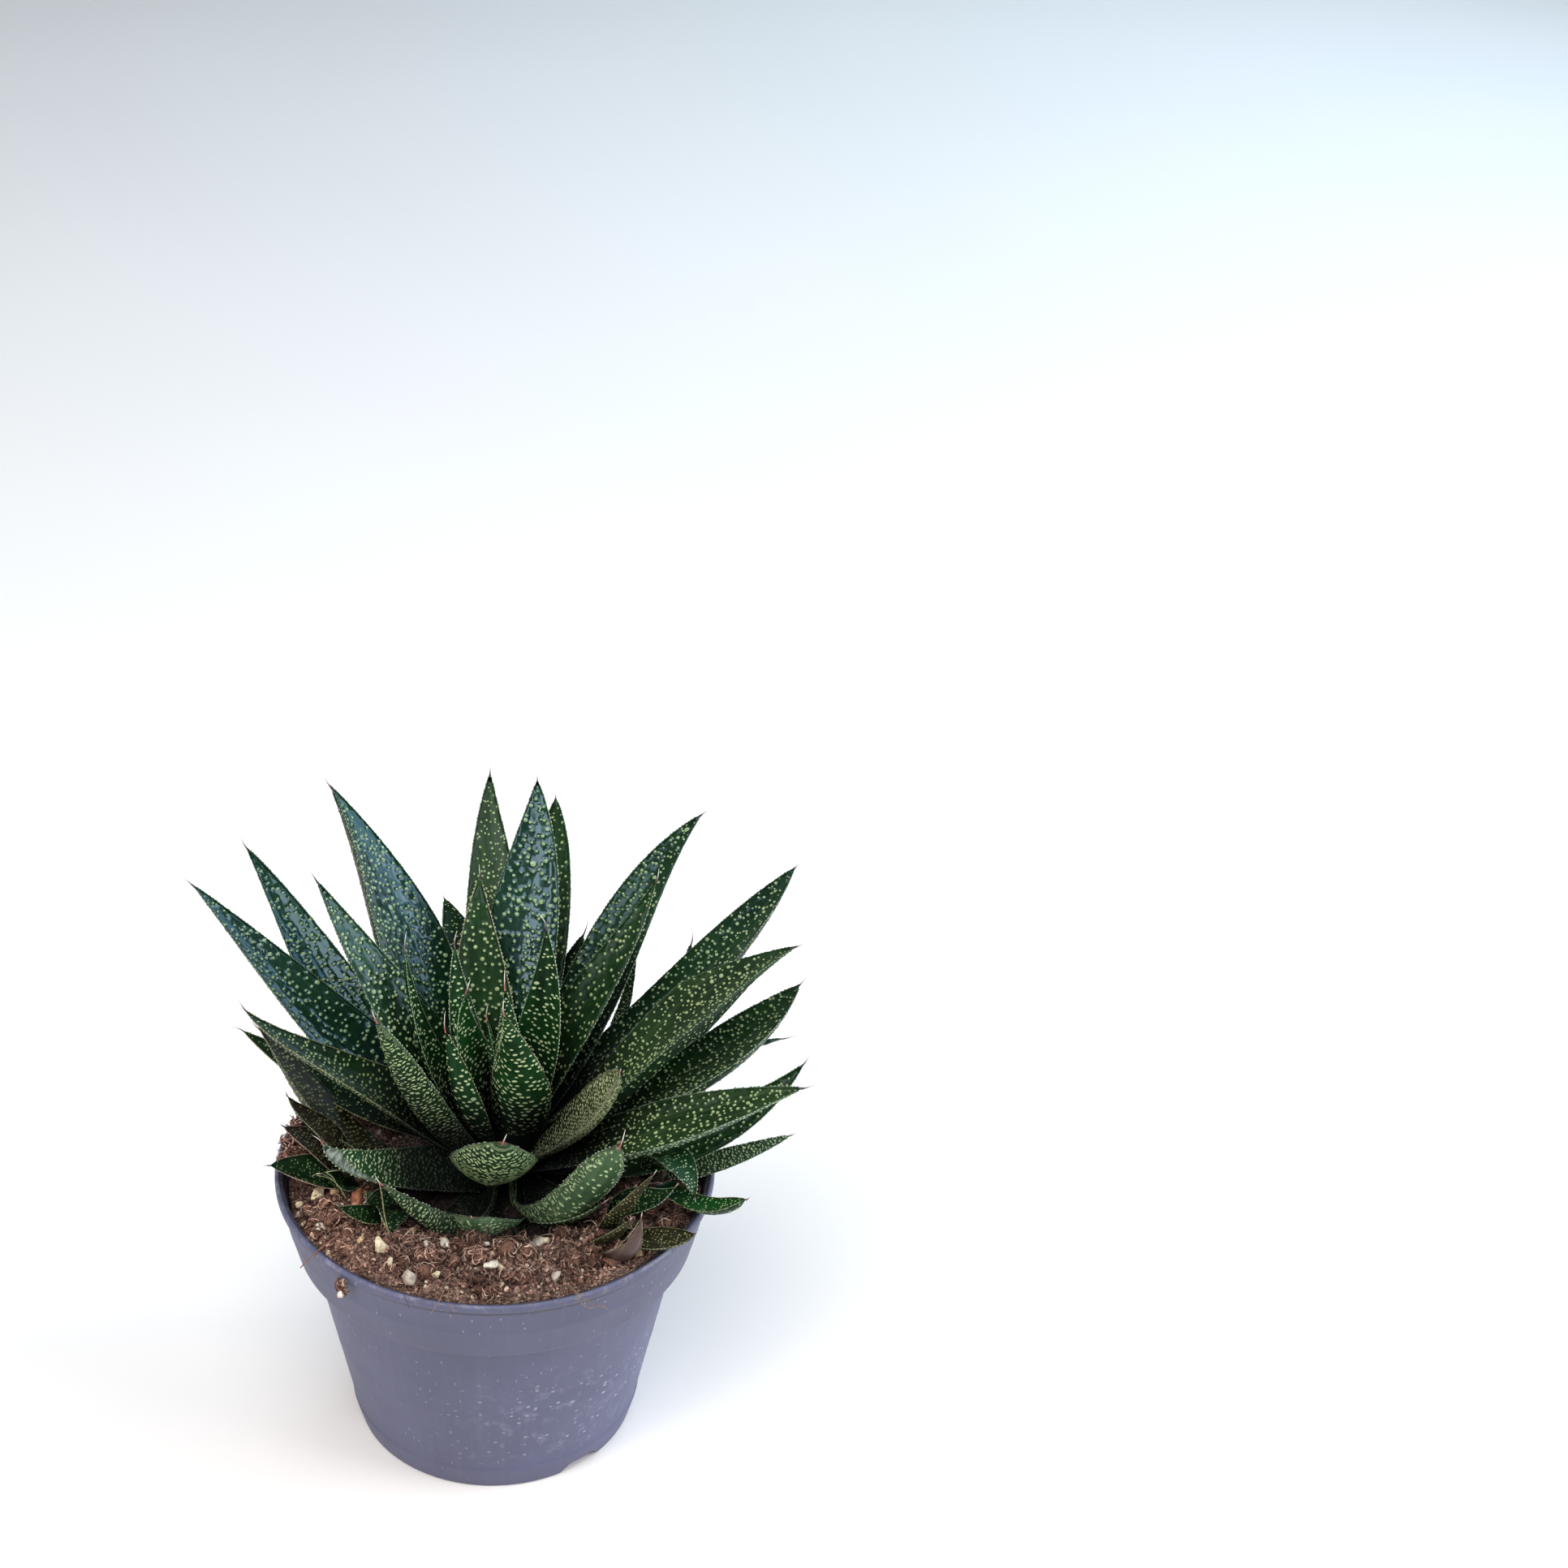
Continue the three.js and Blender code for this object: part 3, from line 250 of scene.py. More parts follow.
def worm_spots(t, uv, cell_u, cell_v, rw, rl, skip=0.94):
    """Fine raised dashes that lie across the leaf in wavy, staggered rows; all
    sizes in mm. Gives nearness to a dash's middle line, 0 to 1 and up."""
    sep = t.node("ShaderNodeSeparateXYZ")
    t.set(sep.inputs[0], uv)
    drift = t.math("MULTIPLY", t.noise(t.stretch(uv, (0.22, 0.40, 1.0)), 1.0, 2.0, 0.5), 3.0)
    u = t.math("ADD", t.math("DIVIDE", sep.outputs[0], cell_u), drift)
    v = t.math("ADD", t.math("DIVIDE", sep.outputs[1], cell_v), t.math("MULTIPLY", u, 0.5))
    com = t.node("ShaderNodeCombineXYZ")
    t.set(com.inputs[0], u)
    t.set(com.inputs[1], v)
    vor = t.node("ShaderNodeTexVoronoi", voronoi_dimensions="2D", feature="F1")
    t.set(vor.inputs["Vector"], com.outputs[0])
    vor.inputs["Scale"].default_value = 1.0
    vor.inputs["Randomness"].default_value = 0.5
    at = t.node("ShaderNodeSeparateXYZ")
    t.set(at.inputs[0], vor.outputs["Position"])
    own = t.node("ShaderNodeSeparateColor")
    t.set(own.inputs[0], vor.outputs["Color"])
    du = t.math("SUBTRACT", u, at.outputs[0])
    dv = t.math("SUBTRACT", t.math("SUBTRACT", v, at.outputs[1]), t.math("MULTIPLY", du, 0.5))
    dv = t.math("MULTIPLY", dv, cell_v)
    bend = t.math("MULTIPLY", t.math("SUBTRACT", own.outputs[2], 0.35), 0.7)
    du = t.math("ADD", t.math("MULTIPLY", du, cell_u), t.math("MULTIPLY", t.math("MULTIPLY", dv, dv), bend))
    a, b = t.math("DIVIDE", du, rw), t.math("DIVIDE", dv, rl)
    d = t.math("SQRT", t.math("ADD", t.math("MULTIPLY", a, a), t.math("MULTIPLY", b, b)))
    d = t.math("DIVIDE", d, t.ramp(own.outputs[0], 0.0, 1.0, 0.78, 1.18, False))
    return t.math("MULTIPLY", t.ramp(d, 1.18, 0.72), t.ramp(own.outputs[1], skip + 0.02, skip))


def leaf_material(name, deep, mid, high, spot, tip, rough=0.36, streak=0.25, grain=0.3, dull=0.0, spec=0.14, wave=0.3,
                  far=None, shade_to_base=0.88, dark=0.95, worms=None, rim=None, spot_rough=0.16, low=0.50,
                  zone=HEART, sheen=(0.84, 0.94, 1.0, 1.0), slant=False, belly=False):
    """Leaf skin. mask: red is a raised spot, green nearness to the margin,
    blue the place along the leaf. blade: millimetres along and across.
    far: start, end, low and high colour of a grey bloom towards the tip;
    slant: it lies along one margin and crosses the blade near the tip.
    worms: fine dashes all over; rim: where they start, towards the margin;
    belly: they keep to the foot and the sides, between larger spots."""
    t = Tree(name)
    spot_m, edge, along = t.channels("mask")
    pos = t.position()
    uv = t.node("ShaderNodeUVMap", uv_map="blade").outputs[0]
    patch = t.ramp(t.noise(pos, 45.0, 3.0, 0.5), 0.34, 0.66)
    fine = t.ramp(t.noise(pos, 520.0, 4.0, 0.6), 0.3, 0.7)
    lines = t.noise(t.stretch(uv, (0.030, 0.75, 1.0)), 1.0, 2.0, 0.5)      # runs along the leaf
    wrinkle = t.noise(t.stretch(uv, (1.25, 0.34, 1.0)), 1.0, 3.0, 0.6, 0.7)   # short cross wrinkles
    base = t.mix(patch, deep, mid)
    base = t.mix(t.math("MULTIPLY", t.ramp(lines, 0.44, 0.70), streak), base, high)
    base = t.mix(t.math("MULTIPLY", fine, 0.14), base, high)
    if far:
        lo, hi, c0, c1 = far
        bloom = t.mix(t.ramp(wrinkle, 0.34, 0.62), c0, c1)
        reach = t.math("ADD", along, t.math("MULTIPLY", t.math("SUBTRACT", lines, 0.5), 0.35))
        if slant:
            over = t.node("ShaderNodeSeparateXYZ")
            t.set(over.inputs[0], uv)
            reach = t.math("ADD", t.math("DIVIDE", over.outputs[1], 5.8), t.math("MULTIPLY", t.math("SUBTRACT", along, 0.74), 4.2))
            reach = t.math("ADD", reach, t.math("MULTIPLY", t.math("SUBTRACT", wrinkle, 0.5), 0.8))
        bare = t.ramp(reach, lo, hi, 0.0, 0.92)
        base = t.mix(bare, base, bloom)
    base = t.mix(t.math("MULTIPLY", t.ramp(edge, 0.90, 1.0), 0.35), base, high)
    # painted shade: the colour darkens towards the leaf's base; shade_to_base sets how dark
    base = t.mix(t.ramp(along, low, 0.06, 0.0, shade_to_base), base, dim(deep, 0.22))
    base = t.mix(t.ramp(along, 0.975, 1.0, 0.0, 0.8), base, tip)
    spots = t.ramp(spot_m, 0.22, 0.40)
    if worms:
        dashes = worm_spots(t, uv, *worms)
        if rim:
            dashes = t.math("MULTIPLY", dashes, t.ramp(t.math("ADD", edge, t.math("MULTIPLY", patch, 0.12)), rim[0], rim[1]))
        if slant:
            dashes = t.math("MULTIPLY", dashes, t.ramp(bare, 0.5, 0.15))
        if belly:
            dashes = t.math("MULTIPLY", dashes, t.math("MAXIMUM", t.ramp(along, 0.66, 0.46), t.ramp(edge, 0.60, 0.78)))
        spots = t.math("MAXIMUM", spots, dashes)
    tone = t.mix(t.ramp(t.noise(pos, 650.0, 2.0), 0.3, 0.7), spot, dim(spot, 0.70))
    # painted shade: the spots, too, grow dim towards the leaf's base
    tone = t.mix(t.ramp(along, 0.75 * low, 0.04, 0.0, 0.55), tone, dim(mid, 0.6))
    base = t.mix(t.math("MULTIPLY", spots, t.ramp(along, 0.985, 0.95, 0.3, 0.95)), base, tone)
    # painted shade in the rosette's middle: the colour goes near black, rough and without reflection; spots higher up
    # keep a little of their tone
    inside = heart(t, pos, dark, zone)
    height = t.node("ShaderNodeSeparateXYZ")
    t.set(height.inputs[0], pos)
    kept = t.math("MULTIPLY", spots, t.ramp(height.outputs[2], 0.096, 0.106, 0.0, 0.26))
    base = t.mix(t.math("MULTIPLY", inside, t.math("SUBTRACT", 1.0, kept)), base, (0.0042, 0.0054, 0.0046, 1.0))
    r = t.math("ADD", rough, t.math("MULTIPLY", fine, 0.08))
    r = t.math("ADD", r, t.math("MULTIPLY", inside, 0.5))
    r = t.math("ADD", r, t.math("MULTIPLY", spots, spot_rough), clamp=True)
    h = t.math("MULTIPLY", lines, 0.8 * wave)
    if worms:
        h = t.math("ADD", h, t.math("MULTIPLY", dashes, 0.45))
    h = t.math("ADD", h, t.math("MULTIPLY", wrinkle, 0.12 * wave + 1.1 * dull))
    n = t.bump(h, 0.25 + 0.7 * dull + 0.15 * wave, 0.00045)
    n = t.bump(t.noise(pos, 2100.0, 3.0, 0.6), grain, 0.00008, n)
    t.set(t.bsdf.inputs["Specular IOR Level"], t.math("MULTIPLY", t.math("SUBTRACT", 1.0, inside), spec))
    return t.shader(base, r, n, Specular_Tint=sheen)


def margin_material(name, edge, dark, tooth, tip):
    """Thin horny edge; the teeth (red in mask) are paler."""
    t = Tree(name)
    tooth_m, _, along = t.channels("mask")
    pos = t.position()
    base = t.mix(t.ramp(t.noise(pos, 240.0, 3.0), 0.36, 0.64), edge, dark)
    # painted shade: the edge darkens towards the leaf's base
    base = t.mix(t.ramp(along, 0.35, 0.05, 0.0, 0.7), base, dim(dark, 0.35))
    base = t.mix(t.ramp(tooth_m, 0.30, 0.75, 0.0, 0.95), base, tooth)
    base = t.mix(t.ramp(along, 0.96, 1.0, 0.0, 0.8), base, tip)
    # painted shade in the rosette's middle: the edge goes near black
    base = t.mix(heart(t, pos, 0.95), base, (0.0045, 0.0055, 0.0048, 1.0))
    n = t.bump(t.noise(pos, 1600.0, 2.0), 0.3, 0.0001)
    return t.shader(base, 0.42, n, Specular_IOR_Level=0.35)


def spine_material(name, low, high):
    """Hair-like point: low colour at its foot, white at the end."""
    t = Tree(name)
    _, _, along = t.channels("mask")
    pos = t.position()
    low = t.mix(t.ramp(t.noise(pos, 500.0, 2.0), 0.35, 0.65), low, dim(low, 0.7))
    base = t.mix(t.ramp(along, 0.20, 0.75), low, high)
    n = t.bump(t.noise(pos, 1500.0, 2.0), 0.25, 0.0001)
    return t.shader(base, 0.5, n)


SPOT_MAIN = lin(162, 178, 124)
SPOT_GREEN = lin(160, 182, 130)
SPOT_PALE = lin(190, 206, 156)
TIP_BROWN = lin(66, 44, 36)
TIP_PINK = lin(140, 84, 76)
SILVER = (lin(84, 94, 84), lin(150, 158, 146))
WORM = (1.02, 1.24, 0.215, 0.45)
LOOKS = {
    "glossy": leaf_material("leaf_glossy_green", lin(10, 34, 20), lin(18, 50, 28), lin(38, 70, 44), lin(152, 176, 120), TIP_BROWN, rough=0.16, streak=0.2, spec=0.75, wave=0.12, grain=0.08, spot_rough=0.04, sheen=(0.58, 0.82, 1.0, 1.0)),
    "satin": leaf_material("leaf_satin_green", lin(12, 32, 16), lin(22, 50, 24), lin(44, 72, 40), lin(162, 180, 128), TIP_BROWN, rough=0.24, streak=0.2, spec=0.45, wave=0.2, grain=0.15, spot_rough=0.08, sheen=(0.60, 0.84, 1.0, 1.0)),
    "green": leaf_material("leaf_green", lin(13, 32, 14), lin(24, 52, 22), lin(48, 76, 38), SPOT_MAIN, TIP_BROWN, rough=0.31, streak=0.25, spec=0.24, wave=0.55),
    "bright": leaf_material("leaf_bright_green", lin(14, 46, 16), lin(24, 74, 26), lin(48, 98, 42), SPOT_PALE, TIP_BROWN, rough=0.36, streak=0.22),
    "inner": leaf_material("leaf_inner_green", lin(8, 30, 12), lin(15, 50, 18), lin(36, 78, 34), SPOT_PALE, TIP_PINK, rough=0.36, streak=0.2),
    "olive": leaf_material("leaf_olive", lin(21, 36, 18), lin(33, 54, 27), lin(62, 82, 46), SPOT_MAIN, TIP_BROWN, rough=0.35, streak=0.4, spec=0.22, wave=0.6),
    "ruddy": leaf_material("leaf_ruddy", lin(32, 42, 20), lin(50, 62, 32), lin(96, 96, 64), lin(206, 216, 166), lin(108, 64, 54), rough=0.44, streak=0.4, dull=0.15, worms=(1.04, 1.22, 0.24, 0.48), low=0.36, dark=0.6),
    "grey": leaf_material("leaf_grey_green", lin(42, 62, 42), lin(60, 80, 58), lin(96, 114, 90), lin(188, 204, 166), TIP_PINK, rough=0.44, streak=0.3, dull=0.4),
    "belly": leaf_material("leaf_belly", lin(40, 62, 38), lin(60, 84, 54), lin(94, 116, 84), lin(176, 194, 144), TIP_PINK, rough=0.46, streak=0.3, dull=0.35,
                           worms=(1.00, 1.18, 0.20, 0.46), dark=0.6, shade_to_base=0.7, sheen=(1.0, 1.0, 1.0, 1.0), belly=True),
    "worn": leaf_material("leaf_worn_grey", lin(34, 56, 32), lin(54, 78, 50), lin(104, 124, 96), lin(168, 188, 142), TIP_PINK, rough=0.46, streak=0.5, dull=0.7,
                          worms=WORM, rim=(0.20, 0.50), dark=0.0, shade_to_base=0.4),
    "silver": leaf_material("leaf_silver", lin(12, 36, 15), lin(24, 58, 26), lin(54, 88, 50), lin(206, 224, 178), TIP_PINK, rough=0.46, streak=0.3, dull=0.5,
                            far=(0.0, 0.35, *SILVER), worms=(1.10, 1.20, 0.22, 0.48), low=0.60, zone=(0.045, 0.024, 0.118, 0.098), slant=True),
    "rough": leaf_material("leaf_rough_grey", lin(22, 40, 20), lin(38, 60, 34), lin(80, 100, 72), lin(182, 200, 154), TIP_PINK, rough=0.46, streak=0.35, dull=0.6,
                           worms=(0.98, 1.12, 0.20, 0.42), dark=0.7),
    "dense": leaf_material("leaf_dense_spots", lin(13, 31, 13), lin(24, 47, 20), lin(48, 72, 38), lin(180, 197, 146), TIP_PINK, rough=0.46, streak=0.2, dull=0.15, worms=WORM),
    "close": leaf_material("leaf_close_spots", lin(11, 30, 12), lin(20, 44, 18), lin(44, 66, 36), lin(160, 178, 128), TIP_PINK, rough=0.44, streak=0.2, dull=0.15,
                           worms=(0.92, 1.22, 0.235, 0.50, 0.985), dark=0.0, shade_to_base=0.5),
    # 'shade' is the 'green' look made darker: painted shade, the default look of the lower faces
    "shade": leaf_material("leaf_dark_green", lin(9, 22, 13), lin(16, 38, 19), lin(34, 60, 33), SPOT_MAIN, TIP_BROWN, rough=0.36, streak=0.25),
    "offset": leaf_material("offset_green", lin(9, 24, 11), lin(17, 40, 18), lin(38, 62, 32), lin(120, 142, 94), TIP_BROWN, rough=0.4, streak=0.35, dull=0.1),
    "brown": leaf_material("leaf_brown_olive", lin(30, 31, 18), lin(50, 48, 30), lin(84, 78, 54), lin(156, 158, 106), lin(64, 44, 36), rough=0.44, streak=0.4, dull=0.15),
    "maroon": leaf_material("leaf_maroon", lin(24, 22, 17), lin(40, 35, 26), lin(70, 58, 42), lin(124, 132, 90), lin(58, 38, 34), rough=0.4, streak=0.35, dull=0.15),
    "mauve": leaf_material("leaf_mauve_underside", lin(54, 40, 35), lin(76, 58, 51), lin(112, 92, 82), lin(128, 112, 96), lin(60, 42, 36), rough=0.32, streak=0.55, spec=0.3, shade_to_base=0.5),
}
MARGINS = {
    "green": margin_material("margin_green", lin(70, 92, 62), lin(40, 62, 38), lin(176, 190, 156), TIP_BROWN),
    "pale": margin_material("margin_pale", lin(104, 124, 92), lin(66, 90, 60), lin(200, 212, 186), TIP_PINK),
    "rosy": margin_material("margin_rosy", lin(168, 138, 120), lin(120, 96, 78), lin(196, 172, 150), lin(110, 64, 54)),
    "tan": margin_material("margin_tan", lin(132, 128, 92), lin(84, 86, 56), lin(206, 204, 172), lin(90, 66, 52)),
}
SPINES = {
    "brown": spine_material("spine_brown", lin(96, 64, 54), lin(206, 198, 190)),
    "pink": spine_material("spine_pink", lin(160, 92, 86), lin(226, 218, 212)),
}


# ----------------------------------------------------------------- leaf shapes
def S(dr, db, rl, rw, p=0.9, wav=0.3, bow=0.1, jit=0.25, turn=0.0, h=0.24, double=False, loose=0.0, sv=0.18):
    """How spots lie on a face, mm: rows dr apart, spots db apart in a row, half
    sizes rl across and rw along the leaf, chance p, row waviness and bow."""
    return dict(dr=dr, db=db, rl=rl, rw=rw, p=p, wav=wav, bow=bow, jit=jit, turn=turn, h=h, double=double, loose=loose, sv=sv)


ROUND = S(1.95, 1.22, 0.42, 0.40, p=0.78, wav=0.9, bow=0.05, jit=0.22, h=0.46, double=True, loose=0.3, sv=0.22)
CLOSE = S(1.75, 1.12, 0.38, 0.35, p=0.80, wav=0.9, bow=0.05, jit=0.22, h=0.36, double=True, loose=0.3, sv=0.24)
ROUND_SMALL = S(1.95, 1.25, 0.40, 0.39, p=0.70, wav=0.7, bow=0.05, jit=0.30, h=0.28, double=True, loose=0.3)
BACK = S(2.2, 1.85, 0.52, 0.35, p=0.85, wav=0.5, bow=0.15, jit=0.22, h=0.22)
SPECKS = S(1.5, 1.25, 0.32, 0.35, p=0.66, wav=0.6, jit=0.36, h=0.2, loose=0.5)
OVALS = S(1.5, 1.40, 0.57, 0.40, p=0.94, wav=0.35, bow=-0.12, jit=0.12, h=0.26)
DASHES = S(1.4, 1.35, 0.56, 0.33, p=0.9, wav=0.4, bow=0.15, jit=0.14, turn=0.3, h=0.2)
ROWS = S(1.4, 1.38, 0.56, 0.34, p=0.92, wav=0.4, bow=0.2, jit=0.13, h=0.2)
WORMS = S(0.86, 1.16, 0.48, 0.23, p=0.99, wav=0.35, bow=0.18, jit=0.07, h=0.2, sv=0.10)
FINE = S(1.05, 1.0, 0.40, 0.23, p=0.92, wav=0.35, bow=0.2, jit=0.10, h=0.16, sv=0.15)
TINY = S(1.05, 1.0, 0.29, 0.21, p=0.86, wav=0.3, jit=0.12, h=0.13)
DOTS = S(1.3, 1.15, 0.27, 0.25, p=0.78, wav=0.5, jit=0.22, h=0.14)
DASHES_SMALL = S(1.05, 1.15, 0.40, 0.19, p=0.84, wav=0.3, bow=0.15, jit=0.12, h=0.12)
LONG = S(1.5, 1.25, 0.56, 0.30, p=0.86, wav=0.6, jit=0.2, turn=0.45, h=0.22, loose=0.2)
BARE = S(9.0, 6.0, 0.35, 0.3, p=0.15, h=0.08)
NONE = S(9.0, 6.0, 0.35, 0.3, p=-1.0)      # the dashes of these faces are in their skin

# node: (look above, look below, spots above, spots below, margin, spine,
#        spine length, ridges, teeth, keel)
# by default the lower faces take the 'shade' look, which is painted shade
D = dict(up="green", lo="shade", su=ROUND_SMALL, sl=BACK, margin="green", spine="brown", hair=3.6, ridge=0.5, teeth=0.6, keel=0.5)


def style(**k):
    return {**D, **k}


STYLE = {
    "leaf_01": style(up="inner", lo="inner", su=OVALS, sl=OVALS, margin="tan", spine="pink", hair=5.0, ridge=0.2, teeth=0.8),
    "leaf_02": style(up="inner", lo="inner", su=FINE, sl=FINE, margin="pale", spine="pink", hair=4.5, ridge=0.2, teeth=0.6),
    "leaf_03": style(up="inner", lo="inner", su=FINE, sl=FINE, margin="pale", spine="pink", hair=5.0, ridge=0.2, teeth=0.6),
    "leaf_04": style(up="inner", lo="inner", su=DASHES, sl=DASHES, margin="tan", spine="pink", hair=5.0, ridge=0.2, teeth=0.8),
    "leaf_05": style(up="inner", lo="inner", su=ROWS, sl=OVALS, margin="pale", spine="pink", hair=4.0, ridge=0.3, teeth=0.7),
    "leaf_06": style(up="inner", lo="inner", su=ROWS, sl=OVALS, margin="pale", spine="brown", hair=3.5, ridge=0.3, teeth=0.7),
    "leaf_07": style(up="inner", lo="inner", su=ROWS, sl=OVALS, margin="pale", spine="brown", hair=4.0, ridge=0.3, teeth=0.6),
    "leaf_08": style(up="inner", lo="inner", su=DASHES, sl=DASHES, margin="pale", spine="brown", hair=4.5, ridge=0.3, teeth=0.7),
    "leaf_09": style(up="dense", lo="dense", su=NONE, sl=NONE, margin="pale", spine="pink", hair=4.5, ridge=0.2, teeth=0.8),
    "leaf_10": style(up="ruddy", lo="ruddy", su=NONE, sl=NONE, margin="tan", spine="pink", hair=3.0, ridge=0.3, teeth=1.0),
    "leaf_11": style(up="green", lo="inner", su=ROUND_SMALL, sl=OVALS, margin="tan", spine="brown", hair=3.0, ridge=0.35, teeth=0.7),
    "leaf_12": style(up="close", lo="close", su=NONE, sl=NONE, margin="pale", spine="pink", hair=3.2, ridge=0.2, teeth=1.0, keel=0.6),
    "leaf_13": style(up="green", lo="shade", su=ROUND_SMALL, margin="green", hair=3.2, ridge=0.5),
    "leaf_14": style(up="glossy", su=ROUND, hair=2.6, ridge=1.3),
    "leaf_15": style(up="olive", su=SPECKS, hair=3.0, ridge=0.3, teeth=0.6),
    "leaf_16": style(up="glossy", su=ROUND, hair=4.0, ridge=1.25),
    "leaf_17": style(up="satin", su=ROUND, hair=4.0, ridge=1.0),
    "leaf_18": style(up="satin", su=CLOSE, hair=3.0, ridge=1.0),
    "leaf_19": style(up="green", su=ROUND_SMALL, hair=2.6, ridge=0.5),
    "leaf_20": style(up="satin", su=CLOSE, hair=3.5, ridge=1.0),
    "leaf_21": style(up="olive", su=CLOSE, hair=3.5, ridge=0.9, teeth=0.8),
    "leaf_22": style(up="green", su=CLOSE, margin="pale", hair=3.5, ridge=0.9, teeth=0.8),
    "leaf_23": style(up="olive", lo="grey", su=CLOSE, sl=ROWS, margin="pale", hair=3.2, ridge=0.9, teeth=1.0),
    "leaf_24": style(up="green", hair=3.0),
    "leaf_25": style(up="green", su=ROUND_SMALL, hair=3.2),
    "leaf_26": style(up="glossy", su=ROUND, hair=4.5, ridge=1.25),
    "leaf_27": style(up="glossy", su=ROUND, hair=3.5, ridge=1.1),
    "leaf_28": style(up="green", lo="dense", su=ROWS, sl=NONE, margin="tan", hair=4.0, ridge=0.4, teeth=0.7),
    "leaf_29": style(up="brown", lo="brown", su=OVALS, sl=OVALS, margin="green", hair=4.0, ridge=0.4),
    "leaf_30": style(up="shade", su=DOTS, margin="tan", hair=4.0, ridge=0.3),
    "leaf_31": style(up="silver", lo="silver", su=NONE, sl=NONE, margin="pale", spine="pink", hair=3.0, ridge=0.3, teeth=1.0),
    "leaf_32": style(up="green", lo="belly", su=ROWS, sl=LONG, margin="pale", spine="pink", hair=4.6, ridge=0.2, teeth=1.0, keel=0.5),
    "leaf_33": style(up="dense", lo="rough", su=NONE, sl=NONE, margin="pale", spine="pink", hair=2.6, ridge=0.3, teeth=1.0),
    "leaf_34": style(up="dense", lo="worn", su=NONE, sl=NONE, margin="pale", spine="pink", hair=1.4, ridge=0.2, teeth=1.1, keel=0.5),
    "leaf_35": style(up="dense", lo="dense", su=NONE, sl=NONE, margin="pale", spine="pink", hair=2.0, ridge=0.2, teeth=1.0),
    "leaf_36": style(up="dense", lo="dense", su=NONE, sl=NONE, margin="pale", spine="pink", hair=2.6, ridge=0.2, teeth=0.8),
    "leaf_37": style(up="shade", lo="olive", su=SPECKS, hair=2.2, ridge=0.3),
    "leaf_38": style(up="shade"), "leaf_39": style(up="green"), "leaf_40": style(up="green"),
    "leaf_41": style(up="rough", lo="rough", su=NONE, sl=NONE, margin="pale"),
    "left_offset_leaf_1": style(up="maroon", lo="maroon", su=TINY, sl=TINY, margin="tan", teeth=0.3, hair=2.0, ridge=0.3),
    "left_offset_leaf_2": style(up="maroon", lo="maroon", su=TINY, sl=TINY, margin="rosy", teeth=0.3, hair=2.0, ridge=0.3),
    "left_offset_leaf_3": style(up="offset", lo="offset", su=DASHES_SMALL, sl=DASHES_SMALL, margin="rosy", hair=2.2, ridge=0.2, teeth=0.25),
    "left_offset_leaf_4": style(up="offset", lo="offset", su=TINY, sl=TINY, margin="pale", hair=1.6, ridge=0.2),
    "front_offset_leaf_1": style(up="offset", lo="offset", su=TINY, sl=TINY, margin="tan", hair=1.6, ridge=0.2),
    "front_offset_leaf_2": style(up="offset", lo="offset", su=TINY, sl=TINY, margin="tan", hair=1.4, ridge=0.2),
    "front_offset_leaf_3": style(up="offset", lo="offset", su=TINY, sl=TINY, margin="tan", hair=1.2, ridge=0.2),
    "right_offset_leaf_1": style(up="olive", lo="brown", su=TINY, sl=TINY, margin="tan", hair=1.6, ridge=0.2, teeth=0.2),
    "right_offset_leaf_2": style(up="offset", lo="grey", su=TINY, sl=TINY, margin="pale", hair=1.6, ridge=0.2, teeth=0.3),
    "right_offset_leaf_3": style(up="olive", lo="brown", su=TINY, sl=TINY, margin="tan", hair=1.4, ridge=0.2, teeth=0.3),
    "right_offset_leaf_4": style(up="brown", lo="brown", su=TINY, sl=TINY, margin="tan", hair=1.8, ridge=0.2, teeth=0.3),
    "right_offset_leaf_5": style(up="mauve", lo="mauve", su=BARE, sl=BARE, margin="tan", hair=1.6, ridge=0.3, teeth=0.1),
    "far_right_offset_leaf_1": style(up="rough", lo="rough", su=NONE, sl=NONE, margin="pale", hair=2.2, ridge=0.4, teeth=0.6),
    "far_right_offset_leaf_2": style(up="inner", lo="inner", su=TINY, sl=TINY, margin="pale", hair=1.2, ridge=0.2),
    "far_right_offset_leaf_3": style(up="bright", lo="inner", su=DOTS, sl=DOTS, margin="tan", hair=1.6, ridge=0.2),
}


